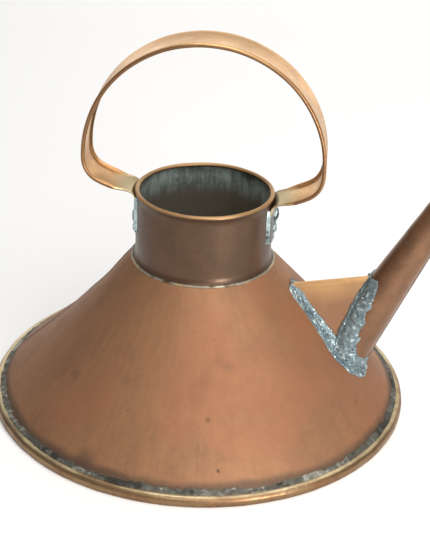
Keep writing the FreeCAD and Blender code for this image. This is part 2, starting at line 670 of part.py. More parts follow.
def make_spout_seam(doc, spout_outside, cone_proud):
    """The soldered strip along the spout's lapped seam, on its underside."""
    proud = make_spout_cone(doc, "spout_seam_outside", "can.seam_height")
    layer = combine(doc, "Part::Cut", "spout_seam_layer", proud, spout_outside)
    strip = doc.addObject("Part::Box", "spout_seam_strip")
    strip.setExpression("Length", "can.spout_root_size + can.cut_margin")
    strip.setExpression("Width", "can.seam_width")
    strip.setExpression("Height", "can.spout_full_length - 2 * can.lip_bead_radius")
    set_place(strip, ("can.spout_root_x", "can.spout_root_z"), "can.spout_lean")
    strip.setExpression("Placement.Base.y", "-can.seam_width / 2")
    line = combine(doc, "Part::Common", "spout_seam_line", layer, strip)
    return combine(doc, "Part::Cut", "spout_seam", line, cone_proud)


# ---- The gusset ----

def gusset_section(grow):
    """Half the outside of the gusset's section, moved out by grow: ridge corner, then foot corner."""
    flare = "can.gusset_flare"
    ridge = "(can.gusset_ridge_round + (%s))" % grow
    ridge_y = "%s * cos(%s)" % (ridge, flare)
    ridge_z = "%s * sin(%s) - can.gusset_ridge_round" % (ridge, flare)
    foot_y = "can.spout_foot_size + (%s) / cos(%s) + (%s) * tan(%s)" % (grow, flare, grow, flare)
    foot_z = "-can.gusset_depth - (%s)" % grow
    return ridge, ridge_y, ridge_z, foot_y, foot_z


def make_gusset_prism(doc, name, grow):
    """A solid prism along the gusset's ridge, ended at the plane of the spout's axis."""
    body = doc.addObject("PartDesign::Body", name)
    set_place(body, ("can.gusset_start_radius", "can.gusset_start_height"), "-can.gusset_slope")
    section = new_sketch(body, name + "_section", "YZ_Plane", "-can.gusset_start_radius / 2")
    ridge, ridge_y, ridge_z, foot_y, foot_z = gusset_section(grow)
    draw_chain(section, [
        ("-(%s)" % foot_y, foot_z),
        (foot_y, foot_z),
        (ridge_y, ridge_z, (ridge, 1)),
        ("-(%s)" % ridge_y, ridge_z),
    ])
    pad = body.newObject("PartDesign::Pad", name + "_pad")
    pad.Profile = section
    pad.setExpression("Length", "can.gusset_start_radius / 2 + 2 * can.gusset_depth")
    end = new_sketch(body, name + "_end_outline", "XZ_Plane")
    low = "(%s - can.cut_margin)" % foot_z
    high = "(can.gusset_ridge_round + (%s))" % grow
    far = "can.gusset_start_radius / 2 + 2 * can.gusset_depth + can.cut_margin"
    on_axis = "can.gusset_foot_x + (%s + can.gusset_depth) / tan(can.gusset_angle)"
    draw_chain(end, [(on_axis % low, low), (far, low), (far, high), (on_axis % high, high)])
    cut = body.newObject("PartDesign::Pocket", name + "_end")
    cut.Profile = end
    cut.Type = "ThroughAll"
    cut.Midplane = True
    return body


def make_spout_gusset(doc, prism, hollow, cone_solid, spout_outside):
    """The folded sheet between the cone and the spout, open underneath."""
    fold = combine(doc, "Part::Cut", "gusset_fold", prism, hollow)
    on_cone = combine(doc, "Part::Cut", "gusset_on_cone", fold, cone_solid)
    return combine(doc, "Part::Cut", "spout_gusset", on_cone, spout_outside)


def make_spout_underside(doc):
    """A block on the underside of the plane of the spout's axis."""
    block = doc.addObject("Part::Box", "spout_underside")
    block.setExpression("Length", "4 * can.spout_root_size")
    block.setExpression("Width", "4 * can.spout_root_size")
    block.setExpression("Height", "can.spout_full_length")
    set_place(block, ("can.spout_root_x", "can.spout_root_z"), "can.spout_lean")
    block.setExpression("Placement.Base.y", "-2 * can.spout_root_size")
    return block


def make_joint_solders(doc, prism, cone_solid, cone_proud, spout_outside):
    """The three runs of solder where gusset, spout and cone meet."""
    grown = make_gusset_prism(doc, "gusset_grown", "can.joint_solder_width")
    spout_proud = make_spout_cone(doc, "spout_proud", "can.joint_solder_height")
    spout_wide = make_spout_cone(doc, "spout_wide", "can.joint_solder_width")
    underside = make_spout_underside(doc)
    beside = combine(doc, "Part::Cut", "beside_gusset", grown, prism)
    cone_layer = combine(doc, "Part::Cut", "cone_layer", cone_proud, cone_solid)
    on_cone = combine(doc, "Part::Common", "gusset_run_on_cone", beside, cone_layer)
    gusset_foot = combine(doc, "Part::Cut", "solder_gusset_cone", on_cone, spout_outside)
    spout_layer = combine(doc, "Part::Cut", "spout_layer", spout_proud, spout_outside)
    on_spout = combine(doc, "Part::Common", "gusset_run_on_spout", beside, spout_layer)
    gusset_end = combine(doc, "Part::Cut", "solder_gusset_spout", on_spout, cone_proud)
    around = combine(doc, "Part::Common", "around_spout", spout_wide, cone_layer)
    ring = combine(doc, "Part::Cut", "spout_run", around, spout_outside)
    lower = combine(doc, "Part::Common", "spout_run_below", ring, underside)
    spout_foot = combine(doc, "Part::Cut", "solder_spout_cone", lower, grown)
    return [gusset_foot, gusset_end, spout_foot]


def write_parts(doc, names):
    """Check every object, then write each sub-part's solid."""
    for item in doc.Objects:
        if "Invalid" in item.State or "Error" in item.State:
            raise RuntimeError("%s failed: %s" % (item.Name, item.State))
    for name in names:
        item = [o for o in doc.Objects if o.Label == name][0]
        if item.Shape.isNull() or not item.Shape.isValid() or not item.Shape.Solids:
            raise RuntimeError("%s has no valid solid" % name)
    os.makedirs("parts", exist_ok=True)
    for name in names:
        item = [o for o in doc.Objects if o.Label == name][0]
        item.Shape.exportStep("parts/%s.step" % name)


def main():
    doc = FreeCAD.newDocument("watering_can")
    make_sheet(doc)
    cone_solid = make_solid_cone(doc, "cone_solid", "0")
    cone_thin = make_solid_cone(doc, "cone_thin", "can.seam_height")
    cone_proud = make_solid_cone(doc, "cone_proud", "can.joint_solder_height")
    spout_outside = make_spout_cone(doc, "spout_outside", "0")
    spout_bore = make_spout_bore(doc)
    prism = make_gusset_prism(doc, "gusset_prism", "0")
    hollow = make_gusset_prism(doc, "gusset_hollow", "-can.gusset_sheet")
    made = [
        make_base_plate(doc),
        make_foot_band(doc),
        make_foot_solder(doc),
        make_body_cone(doc, spout_bore),
        make_cone_seam(doc, cone_solid, cone_thin),
        make_neck_collar(doc),
        make_neck_rim_wire(doc),
        make_neck_solder(doc),
        make_neck_seam(doc),
        make_handle_strap(doc),
        make_handle_wire(doc, "front", "1"),
        make_handle_wire(doc, "back", "-1"),
        make_handle_solder(doc, "right", "1"),
        make_handle_solder(doc, "left", "-1"),
        make_spout_tube(doc, spout_outside, spout_bore, cone_solid),
        make_spout_lip(doc, spout_outside),
        make_spout_seam(doc, spout_outside, cone_proud),
        make_spout_gusset(doc, prism, hollow, cone_solid, spout_outside),
    ]
    made += make_joint_solders(doc, prism, cone_solid, cone_proud, spout_outside)
    doc.recompute()
    write_parts(doc, [item.Label for item in made])


main()
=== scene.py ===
"""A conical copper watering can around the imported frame: a Blender add-on that is run as a script."""
import math

import bmesh
import bpy
from bpy.props import FloatProperty, FloatVectorProperty, PointerProperty
from bpy.types import Operator, Panel, PropertyGroup
from mathutils import Matrix, Vector, noise


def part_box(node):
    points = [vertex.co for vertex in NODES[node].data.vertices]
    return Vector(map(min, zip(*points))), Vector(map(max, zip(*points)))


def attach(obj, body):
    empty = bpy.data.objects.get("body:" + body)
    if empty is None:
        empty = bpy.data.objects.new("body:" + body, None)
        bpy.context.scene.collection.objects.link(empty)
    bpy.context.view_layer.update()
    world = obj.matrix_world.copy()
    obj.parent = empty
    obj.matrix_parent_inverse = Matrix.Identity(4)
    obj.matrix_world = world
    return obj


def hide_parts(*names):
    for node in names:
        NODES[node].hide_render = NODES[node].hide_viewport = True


bl_info = {
    "name": "Conical Watering Can",
    "version": (1, 0, 0),
    "blender": (4, 5, 0),
    "location": "View3D > Sidebar > Watering Can",
    "description": "Builds a soldered copper watering can and a plain studio around it",
    "category": "Add Mesh",
}

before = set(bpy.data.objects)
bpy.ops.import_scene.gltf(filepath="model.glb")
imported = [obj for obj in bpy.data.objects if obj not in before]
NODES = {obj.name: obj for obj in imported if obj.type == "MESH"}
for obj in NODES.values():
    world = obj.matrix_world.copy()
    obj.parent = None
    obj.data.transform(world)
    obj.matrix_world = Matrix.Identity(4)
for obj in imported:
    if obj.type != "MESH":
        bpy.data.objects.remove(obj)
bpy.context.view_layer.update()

BAND_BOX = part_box("foot_band")
CONE_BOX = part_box("body_cone")
NECK_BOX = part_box("neck_collar")

# Fineness of the meshes, and the places where the halving searches start and stop
CONE_STEPS = 240
BAND_STEPS = 420
NECK_STEPS = 200
HALVINGS = 40
SPOUT_FOOT_SPAN = (-0.08, 0.06)


def length(name, description, default):
    """A length that the sidebar shows in the scene's units."""
    return FloatProperty(
        name=name, description=description, default=default, subtype="DISTANCE", unit="LENGTH"
    )


def turn(name, description, degrees):
    """An angle that the sidebar shows in degrees."""
    return FloatProperty(
        name=name, description=description, default=math.radians(degrees), subtype="ANGLE"
    )


def colour(name, description, default):
    """A colour picked in the sidebar."""
    return FloatVectorProperty(
        name=name, description=description, default=default, subtype="COLOR", size=3, min=0.0, max=1.0
    )


class CanSizes(PropertyGroup):
    """Sizes of the can, taken from the frame or matching it."""

    band_radius: length("Band radius", "Outer radius of the foot band", BAND_BOX[1].x)
    band_height: length("Band height", "Height of the foot band's lip", BAND_BOX[1].z)
    band_side: length("Band side", "Height of the band's upright face", 0.0034)
    band_lip: length("Band lip", "Width of the flat on the band's lip", 0.0015)
    band_joint: turn("Band joint", "Azimuth of the band's lapped joint", 11.0)
    band_slant: length("Band slant", "Slant of the band's joint over its height", 0.0049)
    cone_foot_radius: length("Cone foot", "Outer radius of the cone's foot", CONE_BOX[1].x)
    cone_foot_height: length("Cone foot height", "Height of the cone's foot", CONE_BOX[0].z)
    cone_top_height: length("Cone top", "Height of the cone's top edge", CONE_BOX[1].z)
    cone_sheet: length("Cone sheet", "Thickness of the cone's sheet", 0.0012)
    neck_foot_radius: length("Neck foot", "Outer radius of the neck's flared foot", NECK_BOX[1].x)
    neck_foot_height: length("Neck foot height", "Height of the neck's flared foot", NECK_BOX[0].z)
    neck_flare: length("Neck flare", "Height of the flare at the neck's foot", 0.0063)
    neck_radius: length("Neck radius", "Outer radius of the neck", 0.051)
    neck_top: length("Rim height", "Height of the rim", NECK_BOX[1].z)
    neck_sheet: length("Neck sheet", "Thickness of the neck's sheet", 0.001)
    rim_bead: length("Rim bead", "Radius of the rolled rim", 0.0018)
    rim_proud: length("Rim proud", "How far the rim stands out", 0.0007)
    handle_yaw: turn("Handle turn", "Turn of the handle's plane from the spout's", 5.0)
    hoop_radius: length("Hoop radius", "Radius of the hoop to the strap's middle", 0.0872)
    hoop_top: length("Hoop top", "Height of the hoop's top", 0.2819)
    hoop_offset: length("Hoop offset", "The hoop's centre along its plane", -0.0008)
    hoop_corner: length("Hoop corner", "Radius of the turn from arm to hoop", 0.026)
    arm_spring: length("Arm spring", "How far an arm springs up between the neck and the hoop", 0.0032)
    arm_right: length("Right arm", "Height of the arm on the spout's side", 0.1651)
    arm_left: length("Left arm", "Height of the other arm", 0.1681)
    strap_half: length("Strap half width", "Half the strap's width", 0.017)
    strap_sheet: length("Strap sheet", "Thickness of the strap", 0.0012)
    strap_bead: length("Strap bead", "Radius of the strap's rolled edges", 0.0020)
    tab_bend: length("Tab bend", "Inner radius of the bend into a tab", 0.0055)
    tab_foot_right: length("Right tab foot", "Height of the right tab's foot", 0.1341)
    tab_foot_left: length("Left tab foot", "Height of the left tab's foot", 0.1371)
    seam_azimuth: turn("Seam azimuth", "Where the cone's sheet is lapped", 176.0)
    seam_width: length("Seam width", "Width of the seam's solder", 0.005)
    seam_height: length("Seam height", "Height of the seam's solder", 0.0005)
    flank_dent: length("Flank dent", "Depth of the broad dent in the cone's far flank", 0.0045)
    flank_azimuth: turn("Flank azimuth", "Where the broad dent lies", 156.0)
    spout_rise: turn("Spout slope", "Slope of the spout's axis", 63.85)
    spout_mark_x: length("Spout mark", "Distance of the spout's mark from the middle", 0.1275)
    spout_mark_z: length("Spout mark height", "Height of the spout's mark", 0.08)
    spout_mark_size: length("Spout size", "Outer radius of the spout at its mark", 0.0165)
    spout_taper: FloatProperty(name="Spout taper", description="Loss of radius per length", default=0.0606)
    spout_length: length("Spout length", "Length of the spout beyond its mark", 0.18)
    spout_sheet: length("Spout sheet", "Thickness of the spout's sheet", 0.001)
    gusset_x: length("Gusset start", "Where the gusset's ridge leaves the cone", 0.068)
    gusset_slope: turn("Gusset slope", "Rise of the gusset's ridge", 13.1)
    gusset_round: length("Gusset ridge", "Outer radius of the gusset's ridge", 0.005)


class CanColours(PropertyGroup):
    """Colours of the metals."""

    copper: colour("Copper", "Rubbed copper", (0.332, 0.163, 0.079))
    copper_aged: colour("Aged copper", "Copper with a brown bloom", (0.24, 0.122, 0.064))
    copper_red: colour("Red copper", "Warm patches on the body", (0.33, 0.140, 0.070))
    copper_dark: colour("Dark copper", "Copper in deep patina", (0.08, 0.052, 0.034))
    olive: colour("Olive patina", "Patina of the neck and the spout", (0.115, 0.080, 0.046))
    umber: colour("Umber patina", "Red-brown patina of the neck and the spout", (0.16, 0.082, 0.046))
    # This gold is also painted as highlights on the gusset's ridge, the neck's rim and the handle's edges.
    gold_polish_and_highlight: colour("Golden copper", "Copper polished by hands", (0.80, 0.48, 0.21))
    brass: colour("Brass", "The foot band", (0.29, 0.19, 0.10))
    # Bright brass is also painted along the foot band's lip as a highlight.
    brass_bright: colour("Bright brass", "Rubbed edges of the band", (0.70, 0.57, 0.34))
    solder: colour("Solder", "Dull tin and lead", (0.105, 0.152, 0.178))
    # Bright solder is also the painted highlight on the joint solder's crests.
    solder_bright: colour("Bright solder", "Smooth crests of solder", (0.50, 0.62, 0.63))
    # Dark solder is also the painted shade in the joint solder's hollows.
    solder_dark: colour("Dark solder", "Dirt in the solder's hollows", (0.045, 0.06, 0.065))
    foot_grey: colour("Foot solder", "Dirty solder above the band", (0.085, 0.08, 0.064))
    foot_pale: colour("Pale foot solder", "Rubbed solder above the band", (0.30, 0.295, 0.25))
    root_tin: colour("Root tin", "Tinning on the strap beside the neck", (0.50, 0.41, 0.24))
    tinned: colour("Tinned inside", "Old tin on the inside", (0.52, 0.64, 0.60))
    # Painted shade for the inside below the rim, where it lies in shadow.
    inside_shade: colour("Inside shade", "Stains low in the neck", (0.17, 0.15, 0.11))


# ---- Places worked out from the sizes ----


def sizes():
    """The sizes held by the scene."""
    return bpy.context.scene.can_sizes


def colours():
    """The colours held by the scene."""
    return bpy.context.scene.can_colours


def cone_slope():
    """Loss of the cone's radius for each unit of height."""
    s = sizes()
    return (s.cone_foot_radius - s.neck_foot_radius) / (s.neck_foot_height - s.cone_foot_height)


def cone_radius(height):
    """Outer radius of the cone at a height."""
    s = sizes()
    return s.cone_foot_radius - cone_slope() * (height - s.cone_foot_height)


def cone_gap(point):
    """Distance of a point outside the cone's surface, less than nothing when inside."""
    return (math.hypot(point.x, point.y) - cone_radius(point.z)) / math.hypot(1.0, cone_slope())


def cone_normal(point):
    """Outward direction of the cone at a point."""
    radial = Vector((point.x, point.y, 0.0)).normalized()
    return (radial + Vector((0.0, 0.0, cone_slope()))).normalized()


def cone_dent(point):
    """How far the cone's sheet is pushed out of true at a point: one broad dent and many shallow ones."""
    s = sizes()
    share = (point.z - s.cone_foot_height) / (s.cone_top_height - s.cone_foot_height)
    fade = smoothstep(0.0, 0.15, share) * smoothstep(1.0, 0.85, share)
    away = math.atan2(point.y, point.x) - s.flank_azimuth
    away = abs(math.remainder(away, math.tau))
    flank = smoothstep(0.95, 0.0, away) * smoothstep(0.02, 0.5, share) * smoothstep(1.0, 0.7, share)
    ripple = 0.0007 * wobble(point, 0.09, 3.0) + 0.0002 * wobble(point, 0.025, 8.0)
    return fade * ripple - s.flank_dent * flank


def spout_axis():
    """Direction of the spout, from the body to its mouth."""
    rise = sizes().spout_rise
    return Vector((math.cos(rise), 0.0, math.sin(rise)))


def spout_mark():
    """The mark on the spout's axis that its sizes are measured from."""
    s = sizes()
    return Vector((s.spout_mark_x, 0.0, s.spout_mark_z))


def spout_size(along):
    """Outer radius of the spout at a distance along its axis from the mark."""
    s = sizes()
    return s.spout_mark_size - s.spout_taper * along


def spout_gap(point):
    """Distance of a point outside the spout's surface."""
    offset = point - spout_mark()
    along = offset.dot(spout_axis())
    return (offset - along * spout_axis()).length - spout_size(along)


def spout_normal(point):
    """Outward direction of the spout at a point."""
    offset = point - spout_mark()
    return (offset - offset.dot(spout_axis()) * spout_axis()).normalized()


def spout_point(along, angle, grow=0.0):
    """A point on the spout: angle 0 is its underside, a half turn its upper side."""
    axis = spout_axis()
    under = Vector((math.sin(sizes().spout_rise), 0.0, -math.cos(sizes().spout_rise)))
    side = Vector((0.0, 1.0, 0.0))
    out = math.cos(angle) * under + math.sin(angle) * side
    return spout_mark() + along * axis + (spout_size(along) + grow) * out


def halve(low, high, before):
    """Close in on the place between low and high where before(place) stops being true."""
    for _ in range(HALVINGS):
        middle = (low + high) / 2
        if before(middle):
            low = middle
        else:
            high = middle
    return (low + high) / 2


def spout_foot(angle, grow=0.0):
    """Where one line of the spout's side meets the cone, as a distance along the axis from the mark."""
    return halve(*SPOUT_FOOT_SPAN, lambda along: cone_gap(spout_point(along, angle, grow)) < 0)


def foot_of_axis():
    """Distance along the spout's axis, from its mark, to where the axis meets the cone."""
    return halve(*SPOUT_FOOT_SPAN, lambda along: cone_gap(spout_mark() + along * spout_axis()) < 0)


def gusset_start():
    """The start of the gusset's ridge, on the cone."""
    s = sizes()
    height = s.cone_foot_height + (s.cone_foot_radius - s.gusset_x) / cone_slope()
    return Vector((s.gusset_x, 0.0, height))


def gusset_frame():
    """The gusset's own directions: along its ridge and square to it."""
    slope = sizes().gusset_slope
    along = Vector((math.cos(slope), 0.0, math.sin(slope)))
    up = Vector((-math.sin(slope), 0.0, math.cos(slope)))
    return along, up


def gusset_depth():
    """Depth of the gusset below its ridge, down to where the spout's axis meets the cone."""
    pierce = spout_mark() + foot_of_axis() * spout_axis()
    return -(pierce - gusset_start()).dot(gusset_frame()[1])


def gusset_half(depth):
    """Half the gusset's width at a depth below its ridge."""
    s = sizes()
    rounding = s.gusset_round
    reach = gusset_depth() - rounding
    foot = spout_size(foot_of_axis())
    flare = math.atan2(foot, reach) - math.asin(rounding / math.hypot(foot, reach))
    if depth < rounding * (1 - math.sin(flare)):
        return math.sqrt(max(rounding ** 2 - (rounding - depth) ** 2, 0.0))
    return rounding / math.cos(flare) + (depth - rounding) * math.tan(flare)


def gusset_point(along, depth, side):
    """A point on the gusset's side sheet."""
    forward, up = gusset_frame()
    return gusset_start() + along * forward - depth * up + Vector((0.0, side * gusset_half(depth), 0.0))


def seam_on(gap, depth, side, near, far):
    """Where the gusset's side at a depth meets a surface given by its gap, between two distances."""
    inside = gap(gusset_point(near, depth, side)) < 0
    met = halve(near, far, lambda along: (gap(gusset_point(along, depth, side)) < 0) == inside)
    return gusset_point(met, depth, side)


# ---- Mesh helpers ----


def finish_piece(bm, name, materials, replaces):
    """Turn a bmesh into a piece that rides on the can and stands for CAD nodes."""
    mesh = bpy.data.meshes.new(name)
    bm.to_mesh(mesh)
    bm.free()
    piece = bpy.data.objects.new(name, mesh)
    bpy.context.scene.collection.objects.link(piece)
    for material in materials:
        mesh.materials.append(material)
    mesh.shade_smooth()
    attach(piece, "root")
    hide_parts(*replaces)
    return piece


def start_outline(bm, points):
    """A chain of edges through points of radius and height, in the XZ plane."""
    verts = [bm.verts.new((radius, 0.0, height)) for radius, height in points]
    edges = [bm.edges.new(pair) for pair in zip(verts, verts[1:])]
    return verts, edges


def arc_points(centre, radius, start, end, steps):
    """Points along an arc in the plane of radius and height; angles in degrees."""
    places = []
    for i in range(steps + 1):
        angle = math.radians(start + (end - start) * i / steps)
        places.append((centre[0] + radius * math.cos(angle), centre[1] + radius * math.sin(angle)))
    return places


def spin_round(bm, geom, steps, angle=math.tau):
    """Turn an outline about the can's axis."""
    bmesh.ops.spin(
        bm, geom=geom, cent=(0, 0, 0), axis=(0, 0, 1), angle=angle, steps=steps,
        use_merge=abs(angle - math.tau) < 1e-6,
    )


def tidy(bm, merge):
    """Merge doubles and point the faces outwards."""
    bmesh.ops.remove_doubles(bm, verts=bm.verts, dist=merge)
    bmesh.ops.recalc_face_normals(bm, faces=bm.faces)


def wobble(point, size, seed, octaves=3):
    """Smooth noise between about -1 and 1 with features of a given size."""
    place = point / size + Vector((seed, seed * 1.7, -seed))
    return noise.fractal(place, 1.0, 2.0, octaves, noise_basis="PERLIN_ORIGINAL")


def placed_grid(bm, rows, columns, place):
    """A grid of rows by columns of faces, each vertex moved to place(u, v) with u and v from 0 to 1."""
    made = bmesh.ops.create_grid(bm, x_segments=rows, y_segments=columns, size=0.5)
    for vert in made["verts"]:
        vert.co = place(vert.co.x + 0.5, vert.co.y + 0.5)
    return made["verts"]


def close_ends(bm):
    """Fill the open ends of a tube."""
    edges = [edge for edge in bm.edges if edge.is_boundary]
    if edges:
        bmesh.ops.holes_fill(bm, edges=edges, sides=0)


def push(bm, distance):
    """Move each vertex along its normal by distance(point, normal)."""
    bm.normal_update()
    moves = [(vert, vert.normal * distance(vert.co, vert.normal)) for vert in bm.verts]
    for vert, move in moves:
        vert.co += move


def mark_inside(bm, inward):
    """Give the second material to the faces that inward(centre, normal) picks."""
    for face in bm.faces:
        if inward(face.calc_center_median(), face.normal):
            face.material_index = 1


def store_crest(bm, value):
    """Keep value(point) at each vertex as the piece's own attribute, for its material to read."""
    layer = bm.verts.layers.float.new("crest")
    for vert in bm.verts:
        vert[layer] = value(vert.co)


def cut_with(piece, cutter):
    """Cut a shape out of a piece, leaving no modifier behind."""
    modifier = piece.modifiers.new("cut", "BOOLEAN")
    modifier.operation = "DIFFERENCE"
    modifier.solver = "EXACT"
    modifier.object = cutter
    depsgraph = bpy.context.evaluated_depsgraph_get()
    result = bpy.data.meshes.new_from_object(piece.evaluated_get(depsgraph))
    piece.modifiers.clear()
    piece.data = result
    mesh = cutter.data
    bpy.data.objects.remove(cutter)
    bpy.data.meshes.remove(mesh)


def smoothstep(low, high, value):
    """Rise softly from 0 at low to 1 at high."""
    share = min(max((value - low) / (high - low), 0.0), 1.0)
    return share * share * (3 - 2 * share)


# ---- Shader helpers ----


def node(tree, kind, inputs=None, **settings):
    """A node with its settings; each input is a value, or a socket to link from."""
    made = tree.nodes.new(kind)
    for key, value in settings.items():
        setattr(made, key, value)
    for key, value in (inputs or {}).items():
        if isinstance(value, bpy.types.NodeSocket):
            tree.links.new(value, made.inputs[key])
        else:
            made.inputs[key].default_value = value
    return made


def math_node(tree, operation, first, second):
    """The result of one sum."""
    return node(tree, "ShaderNodeMath", {0: first, 1: second}, operation=operation).outputs[0]


def weighed(tree, *parts):
    """The sum of values, each taken at its share."""
    total, *others = [math_node(tree, "MULTIPLY", value, share) for value, share in parts]
    for part in others:
        total = math_node(tree, "ADD", total, part)
    return total


def blend_node(tree, factor, first, second):
    """Two colours blended by a factor."""
    return node(tree, "ShaderNodeMix", {0: factor, 6: first, 7: second}, data_type="RGBA").outputs[2]


def object_place(tree):
    """The place on the object that is being shaded."""
    return node(tree, "ShaderNodeTexCoord").outputs["Object"]


def split(tree, vector):
    """The three parts of a vector."""
    return node(tree, "ShaderNodeSeparateXYZ", {0: vector}).outputs


def flat_of(tree, parts):
    """A place's parts, laid on the floor."""
    return node(tree, "ShaderNodeCombineXYZ", {0: parts[0], 1: parts[1]}).outputs[0]


def stored_crest(tree):
    """What store_crest kept on the piece."""
    made = node(tree, "ShaderNodeAttribute", attribute_name="crest", attribute_type="GEOMETRY")
    return made.outputs["Fac"]


def ramp_node(tree, value, low, high, start=0.0, end=1.0):
    """A value between low and high spread between start and end, softly."""
    made = node(
        tree, "ShaderNodeMapRange", {0: value, 1: low, 2: high, 3: start, 4: end},
        interpolation_type="SMOOTHSTEP",
    )
    return made.outputs[0]


def noise_node(tree, vector, scale, detail, roughness=0.55, distortion=0.0):
    """Soft noise at a scale."""
    return node(tree, "ShaderNodeTexNoise", {
        "Vector": vector, "Scale": scale, "Detail": detail, "Roughness": roughness,
        "Distortion": distortion,
    }).outputs[0]


def rgba(value):
    """A colour with full cover."""
    return (*value, 1.0)


def new_group(name, inputs, outputs):
    """A shader node group; inputs are (name, kind, default), outputs are (name, kind)."""
    group = bpy.data.node_groups.new(name, "ShaderNodeTree")
    for label, kind, default in inputs:
        socket = group.interface.new_socket(name=label, in_out="INPUT", socket_type=kind)
        socket.default_value = default
    for label, kind in outputs:
        group.interface.new_socket(name=label, in_out="OUTPUT", socket_type=kind)
    return group, group.nodes.new("NodeGroupInput").outputs, group.nodes.new("NodeGroupOutput")


def place_group(tree, name, inputs=None):
    """Place a built group in a material."""
    made = tree.nodes.new("ShaderNodeGroup")
    made.node_tree = bpy.data.node_groups[name]
    for key, value in (inputs or {}).items():
        if isinstance(value, bpy.types.NodeSocket):
            tree.links.new(value, made.inputs[key])
        else:
            made.inputs[key].default_value = value
    return made.outputs


FLOAT = "NodeSocketFloat"
COLOUR = "NodeSocketColor"
WHITE = (1.0, 1.0, 1.0, 1.0)


def build_mottle_group():
    """Cloudy tarnish: three tones of one metal mixed by noise, large to small."""
    tree, given, out = new_group(
        "Tarnish clouds",
        [
            ("Light", COLOUR, WHITE), ("Middle", COLOUR, WHITE), ("Dark", COLOUR, WHITE),
            ("Scale", FLOAT, 20.0), ("Age", FLOAT, 0.5), ("Bloom", FLOAT, 0.3),
        ],
        [("Colour", COLOUR), ("Cloud", FLOAT), ("Height", FLOAT)],
    )
    place = object_place(tree)
    cloud = noise_node(tree, place, given["Scale"], 5.0, 0.6, 0.4)
    medium = noise_node(tree, place, math_node(tree, "MULTIPLY", given["Scale"], 4.3), 4.0, 0.6, 0.6)
    fine = noise_node(tree, place, math_node(tree, "MULTIPLY", given["Scale"], 23.0), 3.0, 0.65)
    mixed = weighed(tree, (cloud, 0.55), (medium, 0.3), (fine, 0.15))
    shifted = math_node(tree, "ADD", mixed, math_node(tree, "SUBTRACT", given["Age"], 0.5))
    aged = ramp_node(tree, shifted, 0.36, 0.66)
    tone = blend_node(tree, aged, given["Light"], given["Middle"])
    stain = noise_node(tree, place, math_node(tree, "MULTIPLY", given["Scale"], 0.7), 7.0, 0.7, 1.2)
    stained = math_node(tree, "MULTIPLY", ramp_node(tree, stain, 0.5, 0.76), given["Bloom"])
    tone = blend_node(tree, stained, tone, given["Dark"])
    tree.links.new(tone, out.inputs["Colour"])
    tree.links.new(mixed, out.inputs["Cloud"])
    tree.links.new(weighed(tree, (cloud, 0.7), (medium, 0.3)), out.inputs["Height"])


def build_streak_group():
    """Faint streaks that run down a turned shape, from the can's axis outwards."""
    tree, given, out = new_group(
        "Run marks",
        [("Count", FLOAT, 9.0), ("Stretch", FLOAT, 4.0)],
        [("Mask", FLOAT)],
    )
    place = object_place(tree)
    parts = split(tree, place)
    flat = flat_of(tree, parts)
    around = node(tree, "ShaderNodeVectorMath", {0: flat}, operation="NORMALIZE").outputs[0]
    spread = split(tree, around)
    upright = math_node(tree, "MULTIPLY", parts[2], given["Stretch"])
    vector = node(tree, "ShaderNodeCombineXYZ", {0: spread[0], 1: spread[1], 2: upright}).outputs[0]
    broad = noise_node(tree, vector, given["Count"], 5.0, 0.65, 0.3)
    tree.links.new(ramp_node(tree, broad, 0.38, 0.68), out.inputs["Mask"])


def build_spot_group():
    """Dark spots and pits, sharp or soft, gathered in patches."""
    tree, given, out = new_group(
        "Spots",
        [("Scale", FLOAT, 60.0), ("Size", FLOAT, 0.18), ("Softness", FLOAT, 0.05), ("Patches", FLOAT, 9.0)],
        [("Mask", FLOAT)],
    )
    place = object_place(tree)
    shaken = noise_node(tree, place, math_node(tree, "MULTIPLY", given["Scale"], 2.2), 3.0, 0.6)
    cell = node(tree, "ShaderNodeTexVoronoi", {"Vector": place, "Scale": given["Scale"], "Randomness": 1.0})
    luck = split(tree, cell.outputs["Color"])[0]
    reach = math_node(tree, "MULTIPLY", ramp_node(tree, luck, 0.3, 1.0), given["Size"])
    shape = math_node(tree, "MULTIPLY", math_node(tree, "SUBTRACT", shaken, 0.5), given["Size"])
    edge = math_node(tree, "SUBTRACT", math_node(tree, "ADD", reach, shape), cell.outputs["Distance"])
    spot = ramp_node(tree, edge, 0.0, given["Softness"])
    crowd = ramp_node(tree, noise_node(tree, place, given["Patches"], 2.0), 0.36, 0.5)
    tree.links.new(math_node(tree, "MULTIPLY", spot, crowd), out.inputs["Mask"])


def build_scratch_group():
    """Fine rubbing marks as a height."""
    tree, given, out = new_group(
        "Rubbing",
        [("Scale", FLOAT, 300.0)],
        [("Height", FLOAT)],
    )
    place = object_place(tree)
    turned = node(tree, "ShaderNodeMapping", {
        "Vector": place, "Rotation": (0.3, 0.5, 0.8), "Scale": (1.0, 0.12, 0.3),
    })
    first = noise_node(tree, turned.outputs[0], given["Scale"], 3.0, 0.7)
    grain = noise_node(tree, place, math_node(tree, "MULTIPLY", given["Scale"], 2.0), 2.0, 0.6)
    tree.links.new(weighed(tree, (first, 0.6), (grain, 0.4)), out.inputs["Height"])


def build_groups():
    """Build each shared effect once."""
    if "Tarnish clouds" not in bpy.data.node_groups:
        build_mottle_group()
        build_streak_group()
        build_spot_group()
        build_scratch_group()


def start_metal(name, metallic, roughness):
    """A material with a Principled BSDF, cleared of everything else."""
    material = bpy.data.materials.new(name)
    material.use_nodes = True
    tree = material.node_tree
    shader = next(item for item in tree.nodes if item.type == "BSDF_PRINCIPLED")
    shader.inputs["Metallic"].default_value = metallic
    shader.inputs["Roughness"].default_value = roughness
    return material, tree, shader


def set_bump(tree, shader, height, strength, distance):
    """Feed a height to the shader's normal."""
    bump = node(tree, "ShaderNodeBump", {"Height": height, "Strength": strength, "Distance": distance})
    tree.links.new(bump.outputs[0], shader.inputs["Normal"])


